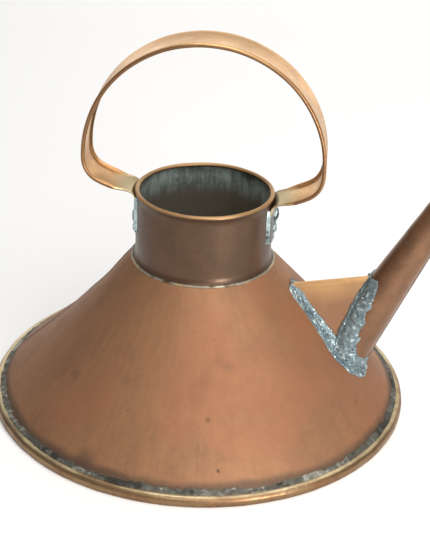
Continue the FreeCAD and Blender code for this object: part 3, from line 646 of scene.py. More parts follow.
def sheet_metal(name, light, middle, dark, scale, age, bloom, metallic, rough, streaks, spots,
                blots=0.25, dents=0.0008, crest=None, tint=None):
    """Aged sheet metal: clouds, run marks, spots, rubbing and dents; tint adds a last local tone."""
    if name in bpy.data.materials:
        return bpy.data.materials[name]
    build_groups()
    material, tree, shader = start_metal(name, metallic, rough[0])
    clouds = place_group(tree, "Tarnish clouds", {
        "Light": rgba(light), "Middle": rgba(middle), "Dark": rgba(dark),
        "Scale": scale, "Age": age, "Bloom": bloom,
    })
    runs = place_group(tree, "Run marks")["Mask"]
    fine_runs = place_group(tree, "Run marks", {"Count": 42.0, "Stretch": 1.5})["Mask"]
    marks = place_group(tree, "Spots", {
        "Scale": 70.0, "Size": 0.15, "Softness": 0.05, "Patches": 12.0,
    })["Mask"]
    smudges = place_group(tree, "Spots", {
        "Scale": 19.0, "Size": 0.28, "Softness": 0.2, "Patches": 5.0,
    })["Mask"]
    tone = blend_node(tree, math_node(tree, "MULTIPLY", runs, streaks), clouds["Colour"], rgba(middle))
    tone = blend_node(tree, math_node(tree, "MULTIPLY", fine_runs, streaks * 0.5), tone, rgba(dark))
    tone = blend_node(tree, math_node(tree, "MULTIPLY", smudges, blots), tone, rgba(dark))
    tone = blend_node(tree, math_node(tree, "MULTIPLY", marks, spots), tone, rgba(dark))
    # The crest colour: on the handle, wear along its edges with a painted highlight; on the gusset, a
    # painted highlight along its ridge.
    if crest:
        ridge = stored_crest(tree)
        wear_and_highlight = math_node(tree, "MULTIPLY", ridge, ramp_node(tree, clouds["Cloud"], 0.3, 0.6, 0.6, 1.0))
        tone = blend_node(tree, wear_and_highlight, tone, rgba(crest))
    if tint:
        tone = tint(tree, tone, clouds["Cloud"])
    tree.links.new(tone, shader.inputs["Base Color"])
    dull = math_node(tree, "ADD", clouds["Cloud"], math_node(tree, "MULTIPLY", marks, 0.5))
    tree.links.new(ramp_node(tree, dull, 0.3, 0.75, rough[0], rough[1]), shader.inputs["Roughness"])
    rubbed = place_group(tree, "Rubbing")["Height"]
    height = math_node(tree, "ADD", clouds["Height"], math_node(tree, "MULTIPLY", rubbed, 0.06))
    height = math_node(tree, "SUBTRACT", height, math_node(tree, "MULTIPLY", marks, 0.05))
    set_bump(tree, shader, height, 1.0, dents)
    return material


def local_tone(kind, low, high, tone, strength, ragged):
    """A last tone laid on between two heights, or between two distances from the can's axis."""

    def tint(tree, below, cloud):
        place = object_place(tree)
        parts = split(tree, place)
        if kind == "height":
            value = parts[2]
        else:
            flat = flat_of(tree, parts)
            value = node(tree, "ShaderNodeVectorMath", {0: flat}, operation="LENGTH").outputs["Value"]
        shake = math_node(tree, "MULTIPLY", math_node(tree, "SUBTRACT", cloud, 0.5), ragged)
        mask = ramp_node(tree, math_node(tree, "ADD", value, shake), low, high, 0.0, strength)
        return blend_node(tree, mask, below, rgba(tone))

    return tint


def soldered(name, dull, bright, dark, scale=90.0, rough=(0.26, 0.5), metallic=0.85, bloom=0.35):
    """Tin and lead solder, darkened where its stored crest is low and lightened where it is high; where the
    crest follows the solder's lumps this is painted shade in the hollows and a painted highlight on the
    crests.
    """
    if name in bpy.data.materials:
        return bpy.data.materials[name]
    build_groups()
    material, tree, shader = start_metal(name, metallic, rough[1])
    clouds = place_group(tree, "Tarnish clouds", {
        "Light": rgba([0.7 * a + 0.3 * b for a, b in zip(dull, bright)]), "Middle": rgba(dull),
        "Dark": rgba(dark), "Scale": scale, "Age": 0.5, "Bloom": bloom,
    })
    crest = stored_crest(tree)
    # Painted shade in the hollows and painted highlight on the crests, on the runs whose crest follows
    # their lumps.
    tone = blend_node(tree, ramp_node(tree, crest, 0.0, 0.35), rgba(dark), clouds["Colour"])
    tone = blend_node(tree, ramp_node(tree, crest, 0.6, 0.88), tone, rgba(bright))
    tree.links.new(tone, shader.inputs["Base Color"])
    tree.links.new(ramp_node(tree, crest, 0.2, 0.9, rough[1], rough[0]), shader.inputs["Roughness"])
    rubbed = place_group(tree, "Rubbing", {"Scale": 500.0})["Height"]
    height = math_node(tree, "ADD", clouds["Cloud"], math_node(tree, "MULTIPLY", rubbed, 0.12))
    set_bump(tree, shader, height, 1.0, 0.0007)
    return material


def plain_solder(name, dull, bright, dark):
    """Solder for thin lines and seams, which carry no crests of their own."""
    if name in bpy.data.materials:
        return bpy.data.materials[name]
    build_groups()
    material, tree, shader = start_metal(name, 0.8, 0.5)
    clouds = place_group(tree, "Tarnish clouds", {
        "Light": rgba(bright), "Middle": rgba(dull), "Dark": rgba(dark),
        "Scale": 110.0, "Age": 0.5, "Bloom": 0.8,
    })
    tree.links.new(clouds["Colour"], shader.inputs["Base Color"])
    tree.links.new(ramp_node(tree, clouds["Cloud"], 0.3, 0.7, 0.3, 0.6), shader.inputs["Roughness"])
    set_bump(tree, shader, clouds["Cloud"], 1.0, 0.0012)
    return material


def band_brass():
    """The foot band: brown on its side, bright along its lip, which is partly rubbed brass and partly a
    painted highlight.
    """
    name = "foot brass"
    if name in bpy.data.materials:
        return bpy.data.materials[name]
    build_groups()
    s, c = sizes(), colours()
    material, tree, shader = start_metal(name, 0.9, 0.4)
    clouds = place_group(tree, "Tarnish clouds", {
        "Light": rgba(c.brass), "Middle": rgba(c.copper_aged), "Dark": rgba(c.copper_dark),
        "Scale": 35.0, "Age": 0.48, "Bloom": 0.6,
    })
    place = object_place(tree)
    height = split(tree, place)[2]
    ragged = math_node(tree, "ADD", height, math_node(tree, "MULTIPLY", clouds["Cloud"], 0.0012))
    # Painted highlight with rubbed brass: a ragged noise mask lightens the top of the lip to bright brass.
    rubbed = ramp_node(tree, noise_node(tree, place, 14.0, 4.0, 0.6), 0.36, 0.56, 0.15, 1.0)
    lip_wear_and_highlight = ramp_node(tree, ragged, s.band_height - 0.0002, s.band_height + 0.0004)
    edge = math_node(tree, "MULTIPLY", lip_wear_and_highlight, rubbed)
    tone = blend_node(tree, edge, clouds["Colour"], rgba(c.brass_bright))
    tree.links.new(tone, shader.inputs["Base Color"])
    tree.links.new(ramp_node(tree, clouds["Cloud"], 0.3, 0.7, 0.28, 0.5), shader.inputs["Roughness"])
    set_bump(tree, shader, clouds["Height"], 1.0, 0.0008)
    return material


def body_copper():
    c, s = colours(), sizes()
    # Painted shade with some grime: the cone darkens towards dark copper just above the foot solder, in the
    # corner against the band.
    foot_shade_and_grime = local_tone("height", s.band_height + 0.0072, s.band_height + 0.0022, c.copper_dark, 0.8, 0.012)

    # Warm red patches at random, then the painted shade and grime above the foot.
    def warm_patches_and_foot_shade(tree, below, cloud):
        place = object_place(tree)
        warm = ramp_node(tree, noise_node(tree, place, 11.0, 3.0, 0.5, 0.8), 0.42, 0.62, 0.0, 0.6)
        return foot_shade_and_grime(tree, blend_node(tree, warm, below, rgba(c.copper_red)), cloud)

    return sheet_metal("body copper", c.copper, c.copper_aged, c.copper_dark,
                       scale=14.0, age=0.45, bloom=0.3, metallic=0.5, rough=(0.52, 0.7),
                       streaks=0.28, spots=0.85, blots=0.75, tint=warm_patches_and_foot_shade)


def neck_copper():
    c, s = colours(), sizes()
    # Painted highlight with some wear: the top of the rolled rim is lightened towards gold.
    wear_and_highlight = local_tone("height", s.neck_top - 0.0018, s.neck_top - 0.0006, c.gold_polish_and_highlight, 0.5, 0.002)
    brown = [0.8 * value for value in c.umber]
    deep = [0.3 * a + 0.3 * b for a, b in zip(c.umber, c.olive)]
    return sheet_metal("neck copper", brown, deep, c.copper_dark,
                       scale=20.0, age=0.55, bloom=0.5, metallic=0.6, rough=(0.32, 0.42),
                       streaks=0.25, spots=0.3, dents=0.0004, tint=wear_and_highlight)


def handle_copper():
    c, s = colours(), sizes()
    by_reach = local_tone("reach", s.neck_radius + 0.021, s.neck_radius + 0.006, c.root_tin, 0.9, 0.008)

    def root(tree, below, cloud):
        place = object_place(tree)
        height = split(tree, place)[2]
        low = ramp_node(tree, height, s.arm_left + 0.02, s.arm_left + 0.01)
        tone = blend_node(tree, low, below, by_reach(tree, below, cloud))
        on_tab = ramp_node(tree, height, s.arm_right - 0.006, s.arm_right - 0.012)
        tone = blend_node(tree, on_tab, tone, rgba(c.foot_grey))
        # Painted shade: a dark umber line along the strap's outermost edges, where the stored crest falls
        # to nothing.
        ridge = stored_crest(tree)
        return blend_node(tree, ramp_node(tree, ridge, 0.08, 0.02, 0.0, 0.8), tone, rgba(c.umber))

    middle = [0.45 * a + 0.55 * b for a, b in zip(c.gold_polish_and_highlight, c.copper)]
    return sheet_metal("handle copper", c.gold_polish_and_highlight, middle, c.copper_aged,
                       scale=26.0, age=0.55, bloom=0.5, metallic=0.9, rough=(0.28, 0.42),
                       streaks=0.0, spots=0.3, dents=0.0003, crest=c.gold_polish_and_highlight, tint=root)


def gusset_copper():
    c = colours()
    pink = [1.05 * value + 0.04 for value in c.copper]
    # The crest colour paints a highlight along the gusset's ridge.
    return sheet_metal("gusset copper", pink, c.copper, c.copper_aged,
                       scale=22.0, age=0.4, bloom=0.25, metallic=0.8, rough=(0.4, 0.55),
                       streaks=0.0, spots=0.2, dents=0.0006, crest=c.gold_polish_and_highlight)


def spout_copper():
    c = colours()
    return sheet_metal("spout copper", c.copper_aged, c.umber, c.olive,
                       scale=24.0, age=0.5, bloom=0.4, metallic=0.6, rough=(0.26, 0.38),
                       streaks=0.0, spots=0.3, dents=0.0003)


def tinned_inside():
    c, s = colours(), sizes()
    # Painted shade: the inside darkens below the rim, where the body's inside lies in shadow.
    deep = local_tone("height", s.neck_top - 0.013, s.neck_top - 0.027, c.inside_shade, 0.95, 0.008)
    return sheet_metal("tinned inside", c.tinned, c.foot_grey, c.solder_dark,
                       scale=25.0, age=0.45, bloom=0.5, metallic=0.3, rough=(0.3, 0.5),
                       streaks=0.6, spots=0.4, dents=0.0004, tint=deep)


def spout_inside():
    c = colours()
    return sheet_metal("spout inside", c.foot_grey, c.olive, c.solder_dark,
                       scale=25.0, age=0.5, bloom=0.6, metallic=0.8, rough=(0.4, 0.6),
                       streaks=0.0, spots=0.4, dents=0.0004)


def joint_solder():
    c = colours()
    return soldered("joint solder", c.solder, c.solder_bright, c.solder_dark, metallic=0.5)


def tab_solder():
    c = colours()
    pale = [0.45 * a + 0.55 * b for a, b in zip(c.solder, c.solder_bright)]
    return soldered("tab solder", pale, c.solder_bright, c.solder_dark,
                    scale=60.0, rough=(0.25, 0.4), bloom=0.2)


def foot_solder():
    c = colours()
    dark = [0.55 * value for value in c.foot_grey]
    return soldered("foot solder", c.foot_grey, c.foot_pale, dark,
                    scale=60.0, rough=(0.35, 0.6), metallic=0.6, bloom=0.5)


def neck_line_solder():
    c = colours()
    return soldered("neck line solder", c.foot_pale, c.root_tin, c.olive,
                    scale=45.0, rough=(0.3, 0.5), metallic=0.8, bloom=0.3)


def seam_solder():
    c = colours()
    return plain_solder("seam solder", c.copper_aged, c.foot_grey, c.copper_dark)


def lip_brass():
    c = colours()
    return sheet_metal("lip brass", c.brass_bright, c.brass, c.copper_aged,
                       scale=60.0, age=0.45, bloom=0.5, metallic=0.95, rough=(0.25, 0.45),
                       streaks=0.0, spots=0.3, dents=0.0003)


def iron_wire():
    c = colours()
    return sheet_metal("iron wire", c.solder, c.olive, c.solder_dark,
                       scale=60.0, age=0.5, bloom=0.5, metallic=0.85, rough=(0.4, 0.6),
                       streaks=0.0, spots=0.3, dents=0.0003)


# ---- The pieces ----


class CAN_OT_body(Operator):
    """Roll the cone of the body from one sheet, with shallow dents."""

    bl_idname = "can.build_body"
    bl_label = "Body cone"

    def execute(self, context):
        s = sizes()
        wall = s.cone_sheet * math.hypot(1.0, cone_slope())
        top = s.cone_top_height
        outline = [
            (s.cone_foot_radius, s.cone_foot_height), (cone_radius(top), top),
            (cone_radius(top) - wall, top), (s.cone_foot_radius - wall, s.cone_foot_height),
        ]
        bm = bmesh.new()
        verts, edges = start_outline(bm, outline)
        edges.append(bm.edges.new((verts[-1], verts[0])))
        for edge in (edges[0], edges[2]):
            bmesh.ops.subdivide_edges(bm, edges=[edge], cuts=48)
        spin_round(bm, bm.verts[:] + bm.edges[:], CONE_STEPS)
        tidy(bm, 1e-5)
        push(bm, self.dent)
        mark_inside(bm, lambda centre, normal: normal.x * centre.x + normal.y * centre.y < 0)
        piece = finish_piece(bm, "body_cone_sheet", [body_copper(), tinned_inside()],
                             replaces=["body_cone"])
        cutter = bmesh.new()
        axis = spout_axis()
        bore = spout_size(foot_of_axis()) - s.spout_sheet
        bmesh.ops.create_cone(cutter, segments=48, radius1=bore, radius2=bore, depth=0.16, cap_ends=True)
        middle = spout_mark() + foot_of_axis() * axis
        turned = axis.to_track_quat("Z", "Y").to_matrix().to_4x4()
        bmesh.ops.transform(cutter, matrix=Matrix.Translation(middle) @ turned, verts=cutter.verts)
        mesh = bpy.data.meshes.new("spout_hole")
        cutter.to_mesh(mesh)
        cutter.free()
        tool = bpy.data.objects.new("spout_hole", mesh)
        context.scene.collection.objects.link(tool)
        cut_with(piece, tool)
        return {"FINISHED"}

    @staticmethod
    def dent(point, normal):
        """The same move outwards for both faces of the sheet."""
        outward = 1.0 if normal.x * point.x + normal.y * point.y > 0 else -1.0
        return outward * cone_dent(point)


class CAN_OT_seam(Operator):
    """Lay the soldered strip along the cone's lapped seam."""

    bl_idname = "can.build_seam"
    bl_label = "Body seam"

    def execute(self, context):
        s = sizes()
        low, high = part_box("cone_seam")[0].z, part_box("cone_seam")[1].z
        azimuth = s.seam_azimuth

        def place(u, v):
            height = low + (high - low) * u
            radius = cone_radius(height)
            t = min(v, 1 - v) * 2
            spread = (t - 0.5) * s.seam_width
            spread *= 1 + 0.12 * wobble(Vector((height, 0.0, 0.0)), 0.008, 3.0)
            angle = azimuth + spread / radius
            point = Vector((radius * math.cos(angle), radius * math.sin(angle), height))
            swell = s.seam_height * (math.sin(math.pi * t) ** 0.5 + 0.25 * wobble(point, 0.004, 5.0))
            rise = (swell if v <= 0.5 else -0.0005) + cone_dent(point)
            return point + cone_normal(point) * rise

        bm = bmesh.new()
        placed_grid(bm, 260, 20, place)
        bmesh.ops.remove_doubles(bm, verts=bm.verts, dist=1e-5)
        close_ends(bm)
        bmesh.ops.recalc_face_normals(bm, faces=bm.faces)
        finish_piece(bm, "cone_seam_strip", [seam_solder()], replaces=["cone_seam"])
        return {"FINISHED"}


class CAN_OT_foot(Operator):
    """Make the brass foot band with its lapped joint, and the solder above it."""

    bl_idname = "can.build_foot"
    bl_label = "Foot band and solder"

    def execute(self, context):
        s = sizes()
        self.make_band(s)
        self.make_solder(s)
        return {"FINISHED"}

    def make_band(self, s):
        """An open ring whose two ends meet at a slant."""
        inner = s.cone_foot_radius
        rounding = s.band_radius - inner - s.band_lip
        eased = 0.0006
        outline = [
            (inner, 0.0), (s.band_radius - eased, 0.0),
            (s.band_radius, eased), (s.band_radius, s.band_side),
        ]
        rise = s.band_height - s.band_side
        for i in range(1, 9):
            angle = math.pi / 2 * i / 8
            outline.append((
                inner + s.band_lip + rounding * math.cos(angle), s.band_side + rise * math.sin(angle)
            ))
        outline += [(inner + 0.0002, s.band_height), (inner, s.band_height - 0.0003)]
        bm = bmesh.new()
        verts, edges = start_outline(bm, outline)
        edges.append(bm.edges.new((verts[-1], verts[0])))
        bm.faces.new(verts)
        gap = 0.0005 / s.band_radius
        bmesh.ops.rotate(bm, verts=bm.verts, cent=(0, 0, 0),
                         matrix=Matrix.Rotation(s.band_joint + gap / 2, 3, "Z"))
        spin_round(bm, bm.verts[:] + bm.edges[:] + bm.faces[:], BAND_STEPS, math.tau - gap)
        tidy(bm, 1e-7)
        for vert in bm.verts:
            lean = s.band_slant * (vert.co.z / s.band_height - 0.5) / s.band_radius
            vert.co.rotate(Matrix.Rotation(lean, 3, "Z"))
        push(bm, lambda point, _: 0.00022 * wobble(point, 0.03, 2.0) + 0.00008 * wobble(point, 0.006, 5.0))
        for vert in bm.verts:
            vert.co.z = max(vert.co.z, 0.0)
        finish_piece(bm, "foot_band_ring", [band_brass()], replaces=["foot_band"])

    def make_solder(self, s):
        """A lumpy fillet in the corner between the cone and the band's lip."""
        climb = 0.0020
        overlap = 0.0006
        across = 12

        def place(u, v):
            angle = u * math.tau
            around = Vector((math.cos(angle), math.sin(angle), 0.0))
            spot = around * s.cone_foot_radius
            edge = climb + 0.0016 * wobble(spot, 0.022, 1.0) + 0.0007 * wobble(spot, 0.006, 4.0)
            high = s.band_height + edge
            rise = min(v, 1 - v) * 2
            outer = v <= 0.5
            height = s.band_height - overlap + (high - s.band_height + overlap) * rise
            base = around * cone_radius(height) + Vector((0, 0, height))
            lip = around * (s.cone_foot_radius + 0.0011) + Vector((0, 0, s.band_height - 0.0003))
            if not outer:
                return base - cone_normal(base) * 0.0004 * math.sin(rise * math.pi)
            fill = base.lerp(lip, (1 - rise) ** 1.4)
            swell = math.sin(min(rise * 1.15, 1.0) * math.pi) ** 0.7 * 0.0007
            grain = wobble(fill, 0.006, 7.0) + 0.5 * wobble(fill, 0.0025, 9.0)
            lump = 0.0006 * math.sin(rise * math.pi) * grain
            return fill + cone_normal(base) * (swell + lump)

        bm = bmesh.new()
        placed_grid(bm, 900, across * 2, place)
        tidy(bm, 2e-5)
        store_crest(bm, lambda p: 0.40 + 0.7 * wobble(p, 0.03, 7.0) + 0.4 * wobble(p, 0.0035, 3.0))
        finish_piece(bm, "foot_solder_fillet", [foot_solder()], replaces=["foot_solder"])


class CAN_OT_neck(Operator):
    """Roll the neck with its flared foot and wired rim, and run the solder around its foot."""

    bl_idname = "can.build_neck"
    bl_label = "Neck"

    def execute(self, context):
        s = sizes()
        bead = (s.neck_radius + s.rim_proud - s.rim_bead, s.neck_top - s.rim_bead)
        inner = s.neck_radius - s.neck_sheet
        flare = s.neck_foot_radius - s.neck_radius
        rounding = (flare ** 2 + s.neck_flare ** 2) / (2 * flare)
        top_of_flare = s.neck_foot_height + s.neck_flare
        outline = []
        for i in range(9):
            height = s.neck_flare * i / 8
            out = rounding - math.sqrt(rounding ** 2 - (s.neck_flare - height) ** 2)
            outline.append((s.neck_radius + out, s.neck_foot_height + height))
        low_bead = bead[1] - math.sqrt(max(s.rim_bead ** 2 - (s.neck_radius - bead[0]) ** 2, 0.0))
        for i in range(1, 9):
            outline.append((s.neck_radius, top_of_flare + (low_bead - top_of_flare) * i / 9))
        start = math.degrees(math.asin((low_bead - bead[1]) / s.rim_bead))
        outline += arc_points(bead, s.rim_bead, start, 180.0 + 25.0, 16)
        last = outline[-1]
        outline.append((inner, bead[1] - s.rim_bead * 0.62))
        for i in range(1, 9):
            outline.append((inner, last[1] - 0.002 + (s.cone_top_height + 0.004 - last[1]) * i / 9))
        outline += [(inner, s.cone_top_height + 0.002), (s.neck_foot_radius - 0.0012, s.cone_top_height)]
        bm = bmesh.new()
        verts, edges = start_outline(bm, outline)
        edges.append(bm.edges.new((verts[-1], verts[0])))
        spin_round(bm, bm.verts[:] + bm.edges[:], NECK_STEPS)
        tidy(bm, 1e-6)
        push(bm, lambda point, normal: self.unevenness(point, normal))
        mark_inside(bm, lambda centre, normal: (
            normal.x * centre.x + normal.y * centre.y < 0
            and math.hypot(centre.x, centre.y) < inner + 0.0004
            and centre.z < s.neck_top - 0.003
        ))
        finish_piece(bm, "neck_wall", [neck_copper(), tinned_inside()],
                     replaces=["neck_collar"])
        self.make_solder(s)
        return {"FINISHED"}

    @staticmethod
    def unevenness(point, normal):
        """A slightly lumpy wall, the same on its two faces."""
        outward = 1.0 if normal.x * point.x + normal.y * point.y > 0 else -1.0
        return outward * (0.00022 * wobble(point, 0.03, 6.0) + 0.00006 * wobble(point, 0.008, 2.0))

    @staticmethod
    def make_solder(s):
        """A thin uneven ring where the neck stands on the cone."""

        def place(u, v):
            angle = u * math.tau
            around = Vector((math.cos(angle), math.sin(angle), 0.0))
            spot = around * s.neck_foot_radius
            size = 0.0011 + 0.0003 * wobble(spot, 0.012, 5.0) + 0.0001 * wobble(spot, 0.004, 2.0)
            turned = v * math.tau
            centre = spot + Vector((0, 0, s.neck_foot_height)) - around * 0.0002
            return centre + around * size * math.cos(turned) + Vector((0, 0, size * math.sin(turned)))

        bm = bmesh.new()
        placed_grid(bm, 480, 10, place)
        tidy(bm, 2e-5)
        store_crest(bm, lambda p: 0.6 + 0.8 * wobble(p, 0.01, 7.0))
        finish_piece(bm, "neck_solder_line", [neck_line_solder()], replaces=["neck_solder"])


class CAN_OT_handle(Operator):
    """Bend the hooped strap with its rolled edges and its two tabs."""

    bl_idname = "can.build_handle"
    bl_label = "Handle strap"

    def execute(self, context):
        s = sizes()
        path = self.path_points(s)
        section = self.section()
        yaw = Matrix.Rotation(s.handle_yaw, 3, "Z")
        half = s.strap_sheet / 2

        def place(u, v):
            spot, out, wrap = path[int(round(u * (len(path) - 1)))]
            kind, side, turned = section[int(round(v * (len(section) - 1)))]
            fade = 1 - wrap
            radius = half + (s.strap_bead - half) * fade
            roll = radius * (1 - 0.2 * fade)
            centre = s.strap_half - radius
            if kind == "web":
                lateral = side * (centre - radius * 0.5)
                lift = turned * half + (roll - half - 0.0008 * (1 - side * side)) * fade
            else:
                lateral = side * (centre + radius * math.cos(turned))
                lift = roll * math.sin(turned)
            above_tab = smoothstep(s.arm_right - 0.02, s.arm_right - 0.006, spot.z)
            pinch = 1 - 0.16 * smoothstep(0.0, 0.7, wrap) * above_tab
            lateral *= pinch
            wave = 0.0003 * wobble(Vector((spot.x, lateral * 0.4, spot.z)), 0.05, 4.0)
            point = spot + out * (lift + wave * fade)
            curved = math.copysign(math.sqrt(max(point.x ** 2 - lateral ** 2, 0.0)), point.x)
            return yaw @ Vector((point.x + (curved - point.x) * wrap, lateral, point.z))

        bm = bmesh.new()
        placed_grid(bm, len(path) - 1, len(section) - 1, place)
        bmesh.ops.remove_doubles(bm, verts=bm.verts, dist=1e-6)
        close_ends(bm)
        bmesh.ops.recalc_face_normals(bm, faces=bm.faces)
        store_crest(bm, self.edge_wear_and_highlight)
        finish_piece(bm, "handle_strap_hoop", [handle_copper()],
                     replaces=["handle_strap", "handle_wire_front", "handle_wire_back"])
        return {"FINISHED"}

    @staticmethod
    def edge_wear_and_highlight(point):
        """How light the strap is coloured: most along its rolled edges and over the top of the hoop, as
        wear with a painted highlight, and least on the outermost edges, where the strap's material paints a
        dark line of shade.
        """
        s = sizes()
        back = Matrix.Rotation(-s.handle_yaw, 3, "Z") @ point
        rim = smoothstep(s.strap_half - 0.0085, s.strap_half - 0.0055, abs(back.y))
        lip = smoothstep(s.strap_half - 0.0013, s.strap_half - 0.0004, abs(back.y))
        top = smoothstep(s.hoop_top - 0.05, s.hoop_top, point.z)
        return (0.32 + 0.3 * rim) * (0.5 + 0.5 * top) * (1.0 + 0.4 * wobble(point, 0.02, 3.0)) * (1 - lip)

    @staticmethod
    def section():
        """The strap's outline: web above, one rolled edge, web below, the other, and back to the start."""
        across, round_steps = 16, 14
        webs = [-1 + 2 * i / across for i in range(across + 1)]
        turns = [math.radians(125 - 250 * i / round_steps) for i in range(1, round_steps)]
        outline = [("web", side, 1.0) for side in webs] + [("bead", 1.0, turned) for turned in turns]
        outline += [("web", -side, -1.0) for side in webs] + [("bead", -1.0, -turned) for turned in turns]
        return outline + outline[:1]

    @staticmethod
    def path_points(s):
        """Places along the strap's middle: position, outward direction, and how far it wraps the neck."""
        half = s.strap_sheet / 2
        face = s.neck_radius + half
        bend = s.tab_bend + half
        hoop_height = s.hoop_top - s.hoop_radius

        def side_points(sign, arm, foot):
            low = arm - bend
            corner_x = s.hoop_offset * sign + s.hoop_radius - s.hoop_corner
            upright, top = corner_x + s.hoop_corner, arm + s.hoop_corner
            track = [(face, foot + (low - foot) * i / 14) for i in range(14)]
            track += arc_points((face + bend, low), bend, 180.0, 90.0, 11)
            track += [(face + bend + (corner_x - face - bend) * i / 4, arm) for i in (1, 2, 3)]
            track += arc_points((corner_x, top), s.hoop_corner, -90.0, 0.0, 20)
            if hoop_height - top > 0.001:
                track.append((upright, top + (hoop_height - top) / 2))
            sprung = []
            for x, z in track:
                share = min(max((x - face - bend * 0.5) / (upright - face - bend * 0.5), 0.0), 1.0)
                sprung.append(Vector((sign * x, 0.0, z + s.arm_spring * math.sin(math.pi * share) ** 1.5)))
            return sprung

        right = side_points(1, s.arm_right, s.tab_foot_right)
        left = side_points(-1, s.arm_left, s.tab_foot_left)
        hoop = [
            Vector((s.hoop_offset + x, 0.0, z))
            for x, z in arc_points((0.0, hoop_height), s.hoop_radius, 0.0, 180.0, 96)
        ]
        places = right + hoop + left[::-1]
        points = []
        for i, spot in enumerate(places):
            heading = (places[min(i + 1, len(places) - 1)] - places[max(i - 1, 0)]).normalized()
            near_neck = min(i, len(places) - 1 - i) < len(right)
            apart = smoothstep(s.neck_radius + 0.002, s.neck_radius + 0.020, abs(spot.x))
            wrap = 1 - apart if near_neck else 0.0
            points.append((spot, Vector((heading.z, 0.0, -heading.x)), wrap))
        return points


class CAN_OT_spout(Operator):
    """Roll the tapering spout and fit its foot to the cone."""

    bl_idname = "can.build_spout"
    bl_label = "Spout"

    def execute(self, context):
        s = sizes()
        sheet = s.spout_sheet

        def place(u, v):
            angle = v * math.tau
            outer = u <= 0.5
            share = min(u, 1 - u) * 2
            grow = 0.0 if outer else -sheet
            foot = spout_foot(angle, grow)
            along = foot + (s.spout_length - foot) * share
            point = spout_point(along, angle, grow)
            fade = smoothstep(0.0, 0.1, share) * smoothstep(1.0, 0.93, share)
            dent = 0.00025 * wobble(spout_point(along, angle), 0.03, 5.0) * fade
            return point + spout_normal(point) * dent

        bm = bmesh.new()
        placed_grid(bm, 200, 72, place)
        tidy(bm, 1e-6)
        mark_inside(bm, lambda centre, normal: normal.dot(spout_normal(centre)) < -0.5)
        finish_piece(bm, "spout_pipe", [spout_copper(), spout_inside()], replaces=["spout_tube"])
        return {"FINISHED"}


def gusset_sections(steps):
    """Depths and sides across the gusset, from its front foot over the ridge to its back foot."""
    deepest = gusset_depth() * 0.985
    depths = [deepest * (1 - math.cos(math.pi / 2 * (1 - i / steps))) for i in range(steps + 1)]
    return [(depth, -1) for depth in depths] + [(depth, 1) for depth in reversed(depths[:-1])]


def gusset_lines(steps):
    """For each place across the gusset, where its sheet meets the cone and where it meets the spout."""
    forward = gusset_frame()[0]
    axis = spout_axis()
    square = Vector((-axis.z, 0.0, axis.x))
    lines = []
    for depth, side in gusset_sections(steps):
        origin = gusset_point(0.0, depth, side)
        on_axis = (spout_mark() - origin).dot(square) / forward.dot(square)
        near = seam_on(cone_gap, depth, side, -0.03, on_axis)
        reach = (near - origin).dot(forward)
        far = seam_on(spout_gap, depth, side, reach - 0.001, on_axis)
        lines.append((near, far))
    return lines


class CAN_OT_gusset(Operator):
    """Fold the gusset that braces the spout against the cone."""

    bl_idname = "can.build_gusset"
    bl_label = "Gusset"

    def execute(self, context):
        lines = gusset_lines(40)
        forward = gusset_frame()[0]

        def place(u, v):
            near, far = lines[int(round(v * (len(lines) - 1)))]
            near = near - forward * 0.0008
            far = far + forward * 0.0008
            point = near.lerp(far, u)
            side = 1 if point.y > 0 else -1
            middle = math.sin(math.pi * u) * smoothstep(0.002, 0.012, abs(point.y))
            hollow = 0.0006 * middle + 0.0004 * middle * wobble(point, 0.02, 9.0)
            return point - Vector((0, side * hollow, 0))

        bm = bmesh.new()
        placed_grid(bm, 40, len(lines) - 1, place)
        tidy(bm, 1e-6)
        self.face_out(bm)
        # Painted highlight: the crest rises towards the ridge, and the gusset's material lightens it to
        # gold there.
        store_crest(bm, lambda p: 0.9 * smoothstep(0.0085, 0.0020, abs(p.y)))
        bmesh.ops.solidify(bm, geom=bm.faces[:], thickness=0.001)
        self.keep_closed(bm)
        finish_piece(bm, "gusset_sheet", [gusset_copper()], replaces=["spout_gusset"])
        return {"FINISHED"}

    @staticmethod
    def face_out(bm):
        """Turn the sheet's faces away from the can's inside."""
        for face in bm.faces:
            centre = face.calc_center_median()
            if abs(centre.y) > 0.006:
                if face.normal.y * centre.y < 0:
                    bmesh.ops.reverse_faces(bm, faces=bm.faces)
                return

    @staticmethod
    def keep_closed(bm):
        """Point the finished wall's faces outwards."""
        bmesh.ops.recalc_face_normals(bm, faces=bm.faces)


def crinkle(point, seed):
    """Lumps and curly ridges of solder that was laid in dabs, from 0 to about 1."""
    cells = noise.voronoi((point + Vector((seed, 0, 0))) / 0.0055)[0]
    lump = max(1 - cells[0] * 1.1, 0.0)
    curl = 1 - min(abs(wobble(point, 0.0042, seed + 5, 2)) * 5.0, 1.0)
    return 0.5 * lump + 0.5 * curl * curl


